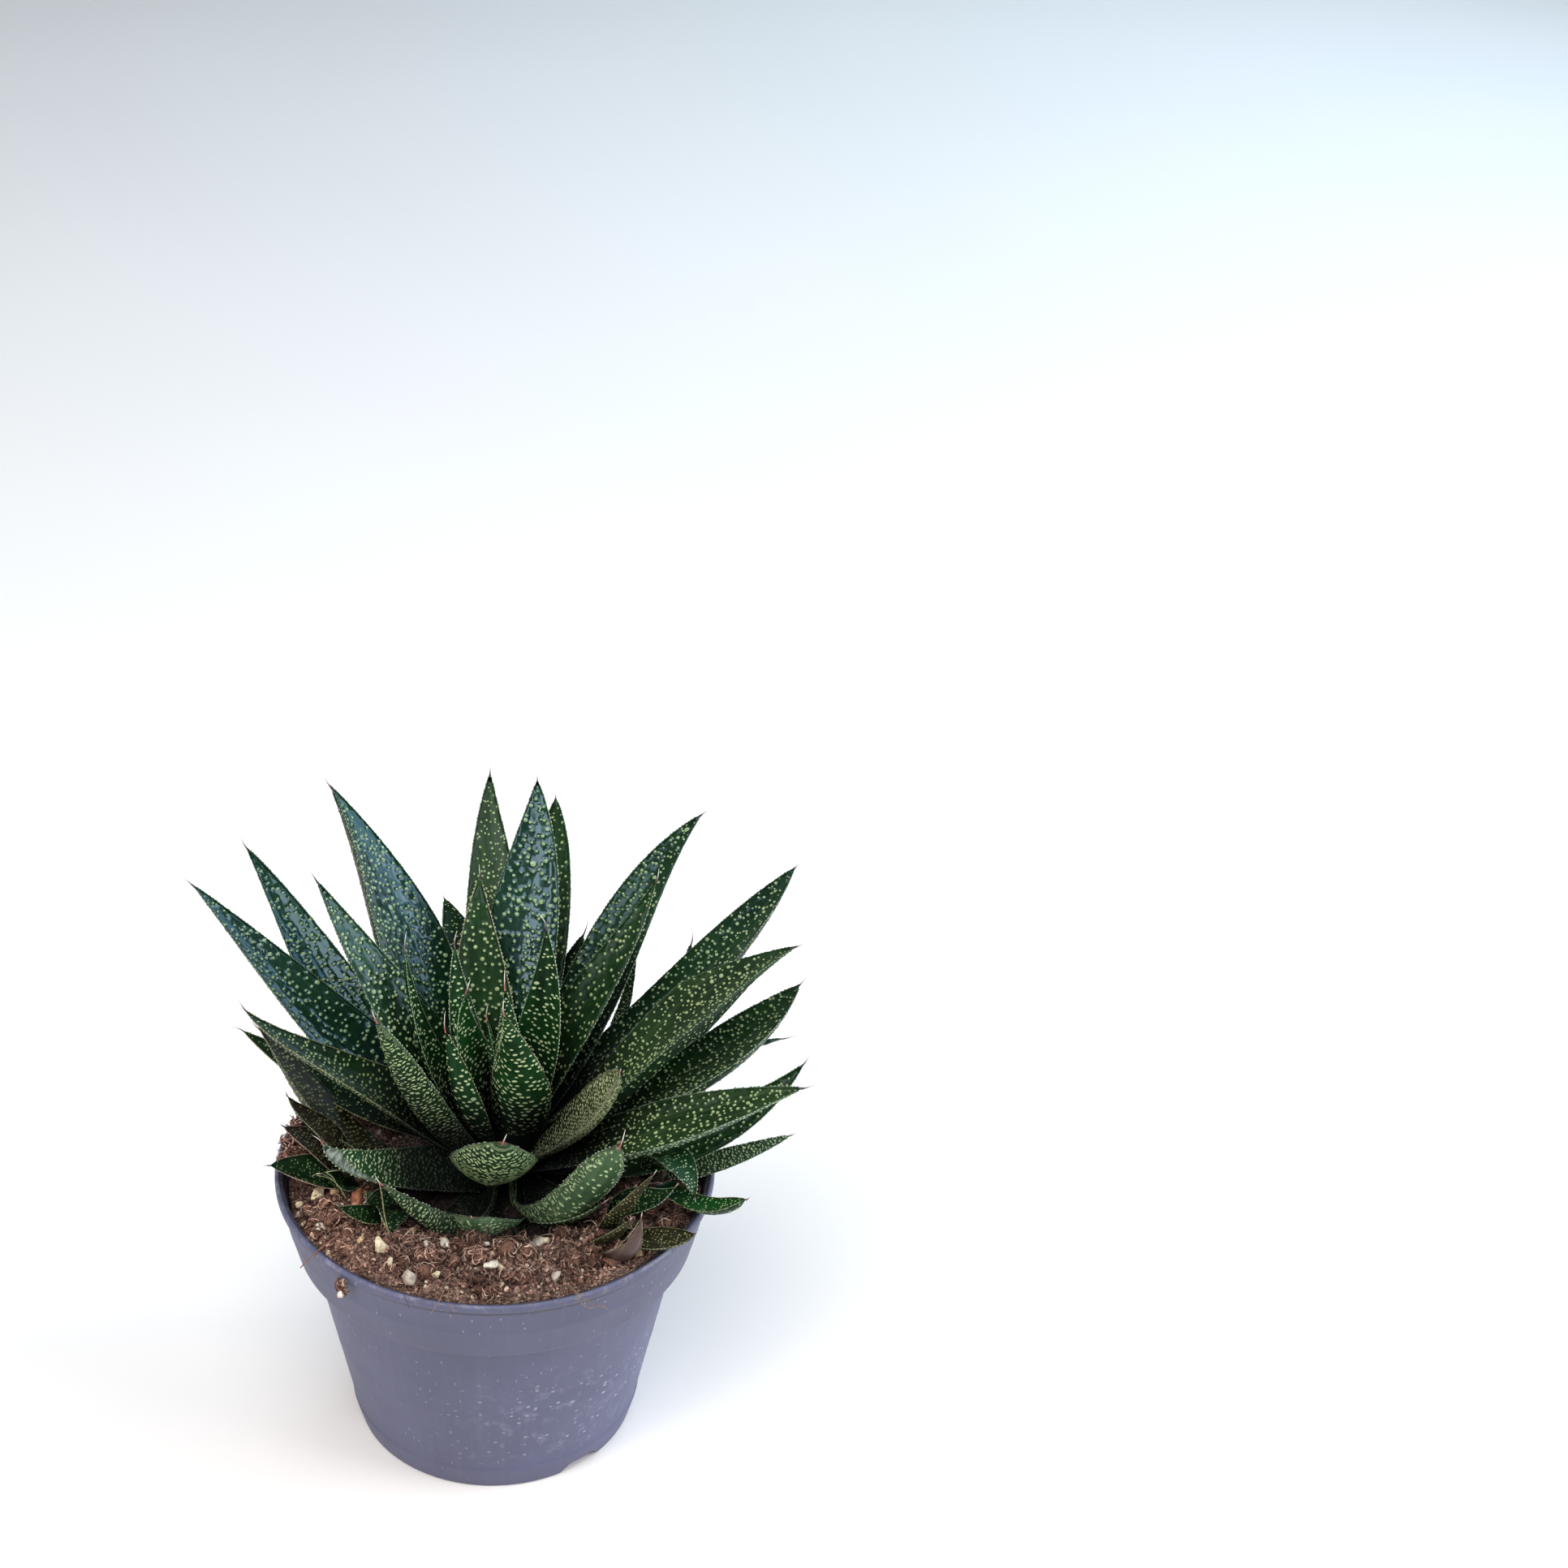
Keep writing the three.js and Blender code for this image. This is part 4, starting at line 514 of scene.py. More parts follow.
class Blade:
    """The smooth form of one leaf. t runs from base to tip, s across, -1 to 1."""

    def __init__(self, row, seed, st):
        self.name, c, self.w, self.wb, self.tp, self.q, self.r0, self.r1, self.fold, self.thick = row
        self.P = np.array(c, float).reshape(4, 3)
        rng = np.random.default_rng(seed)
        chord = self.P[3] - self.P[0]
        az = math.atan2(chord[1], chord[0])
        self.side0 = np.array([-math.sin(az), math.cos(az), 0.0])
        tt = np.linspace(0, 1, 601)
        b = self.curve(tt)
        self.tt = tt
        self.arc = np.concatenate([[0], np.cumsum(np.linalg.norm(np.diff(b, axis=0), axis=1))])
        self.L = self.arc[-1]
        # long ridges and hollows of the upper face, the keel of the lower one
        n = 5
        self.rs = np.linspace(-0.72, 0.72, n) + rng.uniform(-0.1, 0.1, n)
        self.ra = rng.uniform(0.35, 1.0, n) * np.where(rng.random(n) < 0.5, -1, 1) * st["ridge"] * 0.032 * self.w
        self.rw = rng.uniform(0.08, 0.15, n)
        self.rt = rng.uniform(0.45, 0.85, n)
        self.ph = rng.uniform(0, 6.28, 12)
        self.keel_s = rng.uniform(-0.3, 0.3)
        self.keel = st["keel"]
        self.wave = st["ridge"]

    def curve(self, t):
        t = np.asarray(t)[:, None]
        P = self.P
        return ((1 - t) ** 3) * P[0] + 3 * ((1 - t) ** 2) * t * P[1] + 3 * (1 - t) * t * t * P[2] + t ** 3 * P[3]

    def axes(self, t):
        t = np.asarray(t, float)
        u = t[:, None]
        P = self.P
        tan = 3 * ((1 - u) ** 2) * (P[1] - P[0]) + 6 * (1 - u) * u * (P[2] - P[1]) + 3 * u * u * (P[3] - P[2])
        tan /= np.linalg.norm(tan, axis=1)[:, None]
        side = self.side0 - (tan @ self.side0)[:, None] * tan
        side /= np.linalg.norm(side, axis=1)[:, None]
        up = np.cross(tan, side)
        roll = np.radians(self.r0 + self.r1 * t)[:, None]
        return tan, side * np.cos(roll) + up * np.sin(roll), -side * np.sin(roll) + up * np.cos(roll)

    def lw(self, t):
        t = np.asarray(t, float)
        low = self.wb + (1 - self.wb) * np.sin(0.5 * np.pi * np.minimum(t, self.tp) / self.tp)
        x = np.clip((t - self.tp) / (1 - self.tp), 0, 1)
        return np.where(t < self.tp, low, np.maximum(0.0, 1 - x ** self.q))

    def half(self, t):
        return self.w * self.lw(t) + 0.02

    def relief(self, t, s):
        """Ridges, hollows and slow waves of the upper face, mm."""
        fade = np.clip((1 - np.abs(s)) / 0.22, 0, 1) * np.clip((t - 0.12) / 0.25, 0, 1) * np.clip((1 - t) / 0.06, 0, 1)
        y = np.zeros_like(t)
        for k in range(len(self.rs)):
            c = self.rs[k] * (1 - 0.25 * t) + 0.05 * np.sin(5 * t + self.ph[k])
            env = np.exp(-((t - self.rt[k]) / 0.30) ** 2)
            y += self.ra[k] * env * np.exp(-((s - c) / self.rw[k]) ** 2)
        x = t * self.L
        v = s * self.w
        y += 0.05 * self.wave * np.sin(0.50 * x + self.ph[6] + 0.4 * np.sin(0.8 * v + self.ph[7])) * np.cos(0.45 * v + self.ph[8])
        y += 0.14 * self.wave * np.sin(0.17 * x + self.ph[9]) * np.sin(0.32 * v + self.ph[10])
        return y * fade

    def point(self, t, s, lower):
        t = np.asarray(t, float)
        s = np.asarray(s, float)
        half = self.half(t)
        lw = self.lw(t)
        b = self.curve(t)
        tan, s2, n2 = self.axes(t)
        rise = self.fold * half * s * s
        if lower:
            one = np.maximum(0.0, 1 - s * s)
            th = self.thick * lw ** 0.8 * one ** 0.8
            th = th + self.keel * 0.10 * self.w * lw * np.exp(-((s - self.keel_s) / 0.13) ** 2) * np.clip((t - 0.3) / 0.3, 0, 1)
            y = rise - th
        else:
            y = rise + self.relief(t, s)
        return b + s2 * (s * half)[:, None] + n2 * y[:, None]

    def normal(self, t, s, lower):
        e = 0.004
        t0, t1 = np.clip(t - e, 0, 1), np.clip(t + e, 0, 1)
        s0, s1 = np.clip(s - 0.02, -1, 1), np.clip(s + 0.02, -1, 1)
        a = self.point(t1, s, lower) - self.point(t0, s, lower)
        b = self.point(t, s1, lower) - self.point(t, s0, lower)
        n = np.cross(a, b)
        n /= np.maximum(np.linalg.norm(n, axis=1), 1e-12)[:, None]
        return -n if lower else n

    def t_of(self, a):
        return np.interp(a, self.arc, self.tt)


def scatter(rng, blade, st, width, a0, a1):
    """Spots of one face: x along, y across, half sizes and turn, all in mm."""
    out = []
    a = a0 + rng.uniform(0, st["dr"])
    row = 0
    wide = blade.w
    while a < a1:
        w = float(width(np.array([a]))[0])
        ph, ph2 = rng.uniform(0, 6.28, 2)
        n = int(w / st["db"]) + 2
        gate = rng.uniform(0.8, 1.2)
        for j in range(-n, n + 1):
            y = (j + 0.5 * (row % 2)) * st["db"] + rng.normal(0, st["jit"])
            x = a + st["bow"] * w * (y / max(w, 1e-6)) ** 2 + st["wav"] * math.sin(0.75 * y + ph) + rng.normal(0, st["jit"])
            run = 0.70 + 0.42 * math.sin(1.5 * y + ph2) if st["double"] else 0.8 + 0.2 * math.sin(1.1 * y + ph2)
            if rng.random() > st["p"] * gate * run:
                continue
            out.append((x, y))
        if st["loose"] > 0:
            for j in range(rng.poisson(st["loose"] * 2 * w / st["db"])):
                out.append((a + rng.uniform(0.2, 0.8) * st["dr"], rng.uniform(-w, w)))
        a += st["dr"] * rng.uniform(0.86, 1.14)
        row += 1
    kept = []
    xs = np.zeros((len(out), 2))
    rs = np.zeros(len(out))
    ring, slack = (1.26, 0.92) if st["double"] else (1.10, 0.90)
    for x, y in out:
        if not (a0 < x < a1):
            continue
        w = float(width(np.array([x]))[0])
        near_tip = 0.6 + 0.4 * min(1.0, w / (0.5 * wide))
        f = math.exp(rng.normal(0, st["sv"])) * near_tip
        rl, rw = st["rl"] * f, st["rw"] * f
        if abs(y) + ring * rl > w - 0.20:
            if w < 1.2 or abs(y) > w - 0.42:
                continue
            rl = max(0.20, (w - 0.22 - abs(y)) / ring)
        ang = st["turn"] * (1 if y >= 0 else -1) + rng.normal(0, 0.2)
        r = 0.5 * (rl + rw)
        n = len(kept)
        if n:
            d = xs[:n] - (x, y)
            # spots lie close across the leaf, so measure by their own half sizes
            flat = np.hypot(d[:, 0] * r / rw, d[:, 1] * r / rl) * 0.95
            if np.any(flat < ring * (rs[:n] + r) * slack + 0.02):
                continue
        kept.append((x, y, rl, rw, ang, rng.uniform(0.8, 1.0)))
        xs[n] = x, y
        rs[n] = r
    return kept


def cdt(points, loop):
    """Triangles of the points inside the loop, as rows of point numbers."""
    verts = [Vector((float(x), float(y))) for x, y in points]
    n = len(loop)
    edges = [(loop[i], loop[(i + 1) % n]) for i in range(n)]
    out = delaunay_2d_cdt(verts, edges, [], 1, 1e-6, True)
    first = [o[0] if o else -1 for o in out[3]]
    tri = []
    for f in out[2]:
        g = [first[i] for i in f]
        if -1 in g or len(set(g)) < 3:
            continue
        tri.append(g)
    return np.array(tri, int).reshape(-1, 3)


def face_mesh(rng, blade, st, lower, edge_a, fine):
    """One face of a leaf between the shared margins: points and triangles."""
    L = blade.L

    def width(a):
        t = blade.t_of(a)
        h = blade.half(t)
        if not lower:
            return h
        th = blade.thick * blade.lw(t) ** 0.8
        return 0.5 * np.pi * np.sqrt(0.5 * (h * h + th * th))

    # margins: up one side, tip, down the other, base
    v_base = np.linspace(-1, 1, 9)
    ew = width(edge_a)
    right = np.column_stack([edge_a, -ew])          # from base to near the tip
    left = np.column_stack([edge_a, ew])
    tip = np.array([[L, 0.0]])
    base = np.column_stack([np.zeros(7), v_base[1:-1] * width(np.zeros(1))[0]])
    pts = [right, tip, left, base]
    m = len(edge_a)
    loop = list(range(m)) + [m] + list(range(2 * m, m, -1)) + list(range(2 * m + 7, 2 * m, -1))
    a0 = 0.16 * L if len(edge_a) > 30 else 0.12 * L
    sp = scatter(rng, blade, st, width, a0, L * 0.985)
    ring_pts, mask, lift = [], [], []
    tri_extra = None
    k = 6
    th0 = np.arange(k) * 2 * np.pi / k
    spots_xy = np.array([(x, y) for x, y, *_ in sp]).reshape(-1, 2)
    for x, y, rl, rw, ang, hh in sp:
        phase = rng.uniform(0, 1)
        c, s_ = math.cos(ang), math.sin(ang)

        def ring(f):
            u = f * rw * np.cos(th0 + phase)
            v = f * rl * np.sin(th0 + phase)
            return np.column_stack([x + u * c - v * s_, y + u * s_ + v * c])
        size = 0.5 * (rl + rw)
        h = st["h"] * hh * min(1.0, size / 0.4)
        if st["double"]:
            ring_pts.append(ring(1.22)); mask.append(np.zeros(k)); lift.append(np.full(k, -0.03))
            ring_pts.append(ring(0.78)); mask.append(np.ones(k)); lift.append(np.full(k, 0.66 * h))
        else:
            ring_pts.append(ring(1.10)); mask.append(np.full(k, 0.18)); lift.append(np.full(k, -0.01))
        ring_pts.append(np.array([[x, y]])); mask.append(np.ones(1)); lift.append(np.full(1, h))
    # plain grid between the spots
    da, dv = (1.9, 1.35) if blade.w > 6.5 else (1.5, 1.0)
    if fine and not lower:
        da, dv = 1.6, 0.80
    na = int(L / da) + 1
    grid = []
    for i in range(1, na):
        a = i * da
        if a > L - 1.0:
            break
        w = float(width(np.array([a]))[0])
        nv = max(1, int(round(2 * w / dv)))
        v = (np.arange(1, nv) / nv + (0.5 / nv if i % 2 else 0.0)) * 2 * w - w
        v = v[np.abs(v) < w - 0.42 * dv]
        if len(v):
            grid.append(np.column_stack([np.full(len(v), a), v]))
    grid = np.vstack(grid) if grid else np.zeros((0, 2))
    if len(spots_xy) and len(grid):
        rl = np.array([q[2] for q in sp])
        rw = np.array([q[3] for q in sp])
        d = grid[:, None, :] - spots_xy[None]
        near = np.hypot(d[:, :, 0] / (1.26 * rw + 0.26), d[:, :, 1] / (1.26 * rl + 0.26)).min(1) < 1.0
        grid = grid[~near]
    pts.append(grid)
    pts += ring_pts
    P = np.vstack(pts)
    n_edge = 2 * m + 1 + 7
    n_plain = n_edge + len(grid)
    msk = np.concatenate([np.zeros(n_plain)] + mask) if mask else np.zeros(len(P))
    lft = np.concatenate([np.zeros(n_plain)] + lift) if lift else np.zeros(len(P))
    tri = cdt(P, loop)
    # back to the leaf
    t = blade.t_of(np.clip(P[:, 0], 0, L))
    w = np.maximum(width(np.clip(P[:, 0], 0, L)), 1e-6)
    v = np.clip(P[:, 1] / w, -1, 1)
    s = np.sin(0.5 * np.pi * v) if lower else v
    s[:m], s[m], s[m + 1:2 * m + 1] = -1.0, 0.0, 1.0
    # the base line is shared by both faces
    s[2 * m + 1:2 * m + 8] = v_base[1:-1] if not lower else np.sin(0.5 * np.pi * v_base[1:-1])
    co = blade.point(t, s, lower)
    nrm = blade.normal(t, np.clip(s, -0.985, 0.985), lower)
    co = co + nrm * lft[:, None]
    if lower:
        tri = tri[:, ::-1]
    tint = np.zeros((len(P), 4))
    tint[:, 0] = msk
    tint[:, 1] = np.abs(s)
    tint[:, 2] = t
    tint[:, 3] = 1.0
    uv = np.column_stack([P[:, 0], P[:, 1] + (40.0 if lower else 0.0)])
    return co, tri, tint, uv, n_edge, m, len(sp)


def tube_rings(points, radii, sides, frame_up):
    """Rings of points round a line, for hairs, fibres and stems."""
    points = np.asarray(points, float)
    n = len(points)
    tan = np.gradient(points, axis=0)
    tan /= np.maximum(np.linalg.norm(tan, axis=1), 1e-9)[:, None]
    a = np.cross(tan, frame_up)
    bad = np.linalg.norm(a, axis=1) < 1e-3
    a[bad] = np.cross(tan[bad], (0.31, 0.87, 0.1))
    a /= np.linalg.norm(a, axis=1)[:, None]
    b = np.cross(tan, a)
    th = np.arange(sides) * 2 * np.pi / sides
    ring = np.cos(th)[None, :, None] * a[:, None, :] + np.sin(th)[None, :, None] * b[:, None, :]
    return points[:, None, :] + ring * np.asarray(radii, float)[:, None, None]


def tube_faces(n, sides, first=0, caps=True):
    i = np.arange(n - 1)[:, None]
    k = np.arange(sides)[None, :]
    k2 = (k + 1) % sides
    q = np.stack([i * sides + k, (i + 1) * sides + k, (i + 1) * sides + k2, i * sides + k2], -1).reshape(-1, 4)
    tri = np.vstack([q[:, [0, 2, 1]], q[:, [0, 3, 2]]])
    if caps:
        cap = []
        for j in range(1, sides - 1):
            cap.append((0, j, j + 1))
            e = (n - 1) * sides
            cap.append((e, e + j + 1, e + j))
        tri = np.vstack([tri, np.array(cap)])
    return tri + first


def build_mesh(name, co, tri, mats, mat_index=None, tint=None, uv=None, smooth=True):
    """A mesh object from arrays; co in mm."""
    me = bpy.data.meshes.new(name)
    co = np.asarray(co, float)
    tri = np.asarray(tri, int)
    me.vertices.add(len(co))
    me.vertices.foreach_set("co", (co * MM).astype(np.float32).ravel())
    me.loops.add(3 * len(tri))
    me.loops.foreach_set("vertex_index", tri.astype(np.int32).ravel())
    me.polygons.add(len(tri))
    me.polygons.foreach_set("loop_start", (3 * np.arange(len(tri))).astype(np.int32))
    if mat_index is not None:
        me.polygons.foreach_set("material_index", np.asarray(mat_index, np.int32))
    me.polygons.foreach_set("use_smooth", np.full(len(tri), smooth))
    if uv is not None:
        layer = me.uv_layers.new(name="blade")
        layer.data.foreach_set("uv", np.asarray(uv, np.float32)[tri.ravel()].ravel())
    if tint is not None:
        at = me.color_attributes.new(name="mask", type="FLOAT_COLOR", domain="POINT")
        at.data.foreach_set("color", np.asarray(tint, np.float32).ravel())
    for m in mats:
        me.materials.append(m)
    me.update(calc_edges=True)
    me.validate()
    ob = bpy.data.objects.new(name, me)
    bpy.context.scene.collection.objects.link(ob)
    return ob


def build_leaf(row, number):
    name = row[0]
    st = STYLE[name]
    blade = Blade(row, 100 + number, st)
    rng = np.random.default_rng(1000 + number)
    L = blade.L
    big = blade.w > 6.5
    # margin points, closer towards the tip
    n = max(16, int(L / (1.55 if big else 1.15)))
    x = np.linspace(0, 1, n)
    edge_a = L * 0.992 * (1 - (1 - x) ** 1.12)
    fine = st["up"] in ("glossy", "satin") or st["ridge"] > 0.8
    up = face_mesh(rng, blade, st["su"], False, edge_a, fine)
    lo = face_mesh(rng, blade, st["sl"], True, edge_a, fine)
    co_u, tri_u, tint_u, uv_u, n_edge, m, n_su = up
    co_l, tri_l, tint_l, uv_l, _, _, n_sl = lo
    # the lower face uses the upper face's margin points: 0..2m and its own base line
    shared = 2 * m + 1
    nu = len(co_u)
    remap = np.concatenate([np.arange(shared), nu + np.arange(len(co_l) - shared)])
    tri_l = remap[tri_l]
    co = np.vstack([co_u, co_l[shared:]])
    tint = np.vstack([tint_u, tint_l[shared:]])
    uv = np.vstack([uv_u, uv_l[shared:]])
    # base cap between the two base lines
    ub = [0] + list(range(2 * m + 1, 2 * m + 8)) + [m + 1]
    lb = [0] + [nu + i for i in range(7)] + [m + 1]
    cap = []
    for i in range(8):
        a, b, c, d = ub[i], ub[i + 1], lb[i + 1], lb[i]
        if a != d:
            cap.append((a, d, c))
        if b != c:
            cap.append((a, c, b))
    tri = np.vstack([tri_u, tri_l, np.array(cap)])
    mat = np.concatenate([np.zeros(len(tri_u)), np.ones(len(tri_l)), np.ones(len(cap))])
    cos, tris, tints, uvs, mats = [co], [tri], [tint], [uv], [mat]
    total = len(co)
    # thin margins with small pale teeth
    step = 0.52 if big else 0.46
    r_bead = 0.13 if big else 0.11
    for sign in (-1.0, 1.0):
        k = int(L * 0.985 / step)
        a = (np.arange(k) + 0.5) * step
        a = a[a > 0.10 * L]
        k = len(a)
        t = blade.t_of(a)
        s = np.full(k, sign)
        c = blade.point(t, s, False)
        tan, s2, n2 = blade.axes(t)
        outw = s2 * sign
        tooth = np.zeros(k)
        hit = (np.arange(k) % 2 == 0) & (rng.random(k) < 0.84)
        tooth[hit] = st["teeth"] * rng.uniform(0.22, 0.48, hit.sum())
        fade = np.clip((1 - t) / 0.05, 0.3, 1)
        r = r_bead * fade * rng.uniform(0.85, 1.15, k)
        o = c + outw * (0.7 * r + tooth)[:, None] + tan * (0.5 * tooth)[:, None] + n2 * (0.2 * tooth)[:, None]
        uu = c - outw * (0.9 * r)[:, None] + n2 * (0.85 * r)[:, None]
        dd = c - outw * (0.9 * r)[:, None] - n2 * (0.85 * r)[:, None]
        ring = np.stack([o, uu, dd] if sign > 0 else [o, dd, uu], 1).reshape(-1, 3)
        f = tube_faces(k, 3, total)
        ti = np.zeros((len(ring), 4))
        ti[0::3, 0] = np.where(hit, 1.0, 0.0)
        ti[:, 1] = 1
        ti[:, 2] = np.repeat(t, 3)
        ti[:, 3] = 1
        cos.append(ring); tris.append(f); tints.append(ti)
        uvs.append(np.column_stack([np.repeat(a, 3), np.zeros(len(ring))]))
        mats.append(np.full(len(f), 2))
        total += len(ring)
    # the hair-like point
    t_end = np.array([0.985, 1.0])
    c = blade.curve(t_end)
    tan, s2, n2 = blade.axes(t_end)
    c0 = blade.point(np.array([0.985]), np.array([0.0]), True)[0] * 0.5 + blade.point(np.array([0.985]), np.array([0.0]), False)[0] * 0.5
    hair = st["hair"]
    k = 11
    u = np.linspace(0, 1, k)
    bend = rng.normal(0, 0.10) * s2[1] + rng.uniform(-0.02, 0.16) * n2[1]
    start = np.linalg.norm(c[1] - c0)
    d = u * (start + hair)
    line = c0 + tan[1] * d[:, None] + bend * (np.clip(d - start, 0, None) ** 1.6)[:, None]
    th_end = 0.5 * blade.thick * float(blade.lw(np.array([0.985]))[0]) ** 0.8
    r0 = min(0.40, max(0.20, th_end * 0.6))
    rad = r0 * (1 - u) ** 0.9 + 0.04
    ring = tube_rings(line, rad, 6, s2[1]).reshape(-1, 3)
    f = tube_faces(k, 6, total)
    ti = np.zeros((len(ring), 4)); ti[:, 2] = np.repeat(u, 6); ti[:, 3] = 1
    cos.append(ring); tris.append(f); tints.append(ti)
    uvs.append(np.column_stack([np.repeat(d, 6), np.zeros(len(ring))]))
    mats.append(np.full(len(f), 3))
    total += len(ring)
    mlist = [LOOKS[st["up"]], LOOKS[st["lo"]], MARGINS[st["margin"]], SPINES[st["spine"]]]
    ob = build_mesh(name + "_leaf", np.vstack(cos), np.vstack(tris), mlist, np.concatenate(mats), np.vstack(tints), np.vstack(uvs))
    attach(ob, "root")
    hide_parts(name)
    return len(ob.data.polygons), n_su, n_sl


count = 0
for number, row in enumerate(LEAVES):
    faces, n_su, n_sl = build_leaf(row, number)
    count += faces
print("leaf triangles", count)


# ------------------------------------------------------------------------- pot
def body_outer(z):
    return FOOT_RADIUS + (BODY_RADIUS - FOOT_RADIUS) * z / BAND_BOTTOM


def band_outer(z):
    return BAND_RADIUS + (RIM_RADIUS - 0.4 - BAND_RADIUS) * (z - BAND_BOTTOM) / BAND_HEIGHT


def pot_inner(z):
    if z < BAND_BOTTOM - 0.6:
        return body_outer(z) - WALL
    return min(band_outer(max(z, BAND_BOTTOM)) - WALL, RIM_RADIUS - LIP)


def rounded(profile, sizes):
    """A profile with its corners turned into short arcs."""
    out = []
    n = len(profile)
    for i in range(n):
        p = np.array(profile[i], float)
        r = sizes.get(i, 0.0)
        if r <= 0 or i in (0, n - 1):
            out.append(p)
            continue
        a = np.array(profile[i - 1], float)
        b = np.array(profile[i + 1], float)
        da, db = a - p, b - p
        la, lb = np.linalg.norm(da), np.linalg.norm(db)
        k = min(r, 0.45 * la, 0.45 * lb)
        s, e = p + da / la * k, p + db / lb * k
        for u in (0.0, 0.33, 0.67, 1.0):
            out.append((1 - u) ** 2 * s + 2 * u * (1 - u) * p + u * u * e)
    return out


def build_pot():
    H = POT_HEIGHT
    prof = [
        (0, 0.0), (HUB_RADIUS, 0.0), (HUB_RADIUS + 1.4, FLOOR_UNDER),
        (FOOT_RADIUS - FOOT_RING - 1.2, FLOOR_UNDER), (FOOT_RADIUS - FOOT_RING, 0.0),
        (FOOT_RADIUS - 0.5, 0.0), (FOOT_RADIUS, 0.6),
        (body_outer(6.9) + 0.35, 6.9), (body_outer(7.7) + 0.30, 7.7), (body_outer(8.1), 8.1),
        (body_outer(30.0), 30.0), (body_outer(30.7) + 0.06, 30.7), (body_outer(31.4), 31.4),
        (body_outer(BAND_BOTTOM - 0.8), BAND_BOTTOM - 0.8), (BAND_RADIUS - 1.0, BAND_BOTTOM - 0.1),
        (BAND_RADIUS, BAND_BOTTOM + 1.1),
        (band_outer(71.0), 71.0), (band_outer(71.5) + 0.07, 71.5), (band_outer(72.0), 72.0),
        (band_outer(H - 3.0), H - 3.0), (RIM_RADIUS, H - 2.1),
        (RIM_RADIUS, H - 0.55), (RIM_RADIUS - 0.6, H),
        (RIM_RADIUS - 1.15, H), (RIM_RADIUS - 1.5, H - 0.45),
        (RIM_RADIUS - LIP + 0.4, H - 0.55), (RIM_RADIUS - LIP, H - 0.95),
        (RIM_RADIUS - LIP, H - 1.6), (pot_inner(H - 3.0), H - 2.6),
        (pot_inner(BAND_BOTTOM + 0.2), BAND_BOTTOM + 0.2),
        (body_outer(BAND_BOTTOM - 0.8) - WALL, BAND_BOTTOM - 1.0),
        (pot_inner(FLOOR_TOP + 1.5), FLOOR_TOP + 1.5), (pot_inner(FLOOR_TOP) - 1.2, FLOOR_TOP),
        (0, FLOOR_TOP),
    ]
    sizes = {1: 0.6, 2: 0.8, 3: 0.8, 4: 0.5, 5: 0.4, 6: 0.5, 7: 0.5, 8: 0.35, 9: 0.3, 13: 0.5, 14: 0.9, 15: 0.9, 19: 0.5, 20: 0.6, 21: 0.5,
             22: 0.4, 23: 0.3, 24: 0.2, 25: 0.3, 26: 0.3, 28: 0.5, 29: 0.5, 30: 0.4, 31: 0.8, 32: 0.8}
    prof = rounded(prof, sizes)
    # long straight walls get more rings, so that the slight warp shows
    full = [prof[0]]
    for a, b in zip(prof[:-1], prof[1:]):
        k = max(1, int(abs(b[1] - a[1]) / 7.0))
        for j in range(1, k + 1):
            full.append(a + (b - a) * j / k)
    full = np.array(full)
    seg = 168
    th = np.arange(seg) * 2 * np.pi / seg
    r, z = full[1:-1, 0], full[1:-1, 1]
    R = np.repeat(r[:, None], seg, 1)
    Z = np.repeat(z[:, None], seg, 1)
    T = np.repeat(th[None], len(r), 0)
    # thin moulded wall: a hand's push here and there
    soft = np.clip((Z - 6) / 30, 0, 1) * np.clip((R - 36) / 10, 0, 1)
    R = R + soft * (0.16 * np.sin(2 * T + 0.7) + 0.10 * np.sin(3 * T + 2.0 + Z * 0.02) + 0.05 * np.sin(7 * T + Z * 0.05))
    lipk = np.clip((Z - (H - 3.0)) / 2.0, 0, 1)
    Z = Z + lipk * (0.10 * np.sin(2 * T + 1.1) + 0.05 * np.sin(5 * T))
    R = np.minimum(R, RIM_RADIUS + 0.15)
    co = np.stack([R * np.cos(T), R * np.sin(T), Z], -1).reshape(-1, 3)
    n = len(r)
    i = np.arange(n - 1)[:, None]
    k = np.arange(seg)[None]
    k2 = (k + 1) % seg
    q = np.stack([i * seg + k, i * seg + k2, (i + 1) * seg + k2, (i + 1) * seg + k], -1).reshape(-1, 4)
    tri = np.vstack([q[:, [0, 1, 2]], q[:, [0, 2, 3]]])
    bottom, top = len(co), len(co) + 1
    co = np.vstack([co, [[0, 0, 0], [0, 0, FLOOR_TOP]]])
    kk = np.arange(seg)
    tri = np.vstack([tri, np.column_stack([np.full(seg, bottom), (kk + 1) % seg, kk]),
                     np.column_stack([np.full(seg, top), (n - 1) * seg + kk, (n - 1) * seg + (kk + 1) % seg])])
    pot = build_mesh("pot_shell", co, tri, [pot_material()])
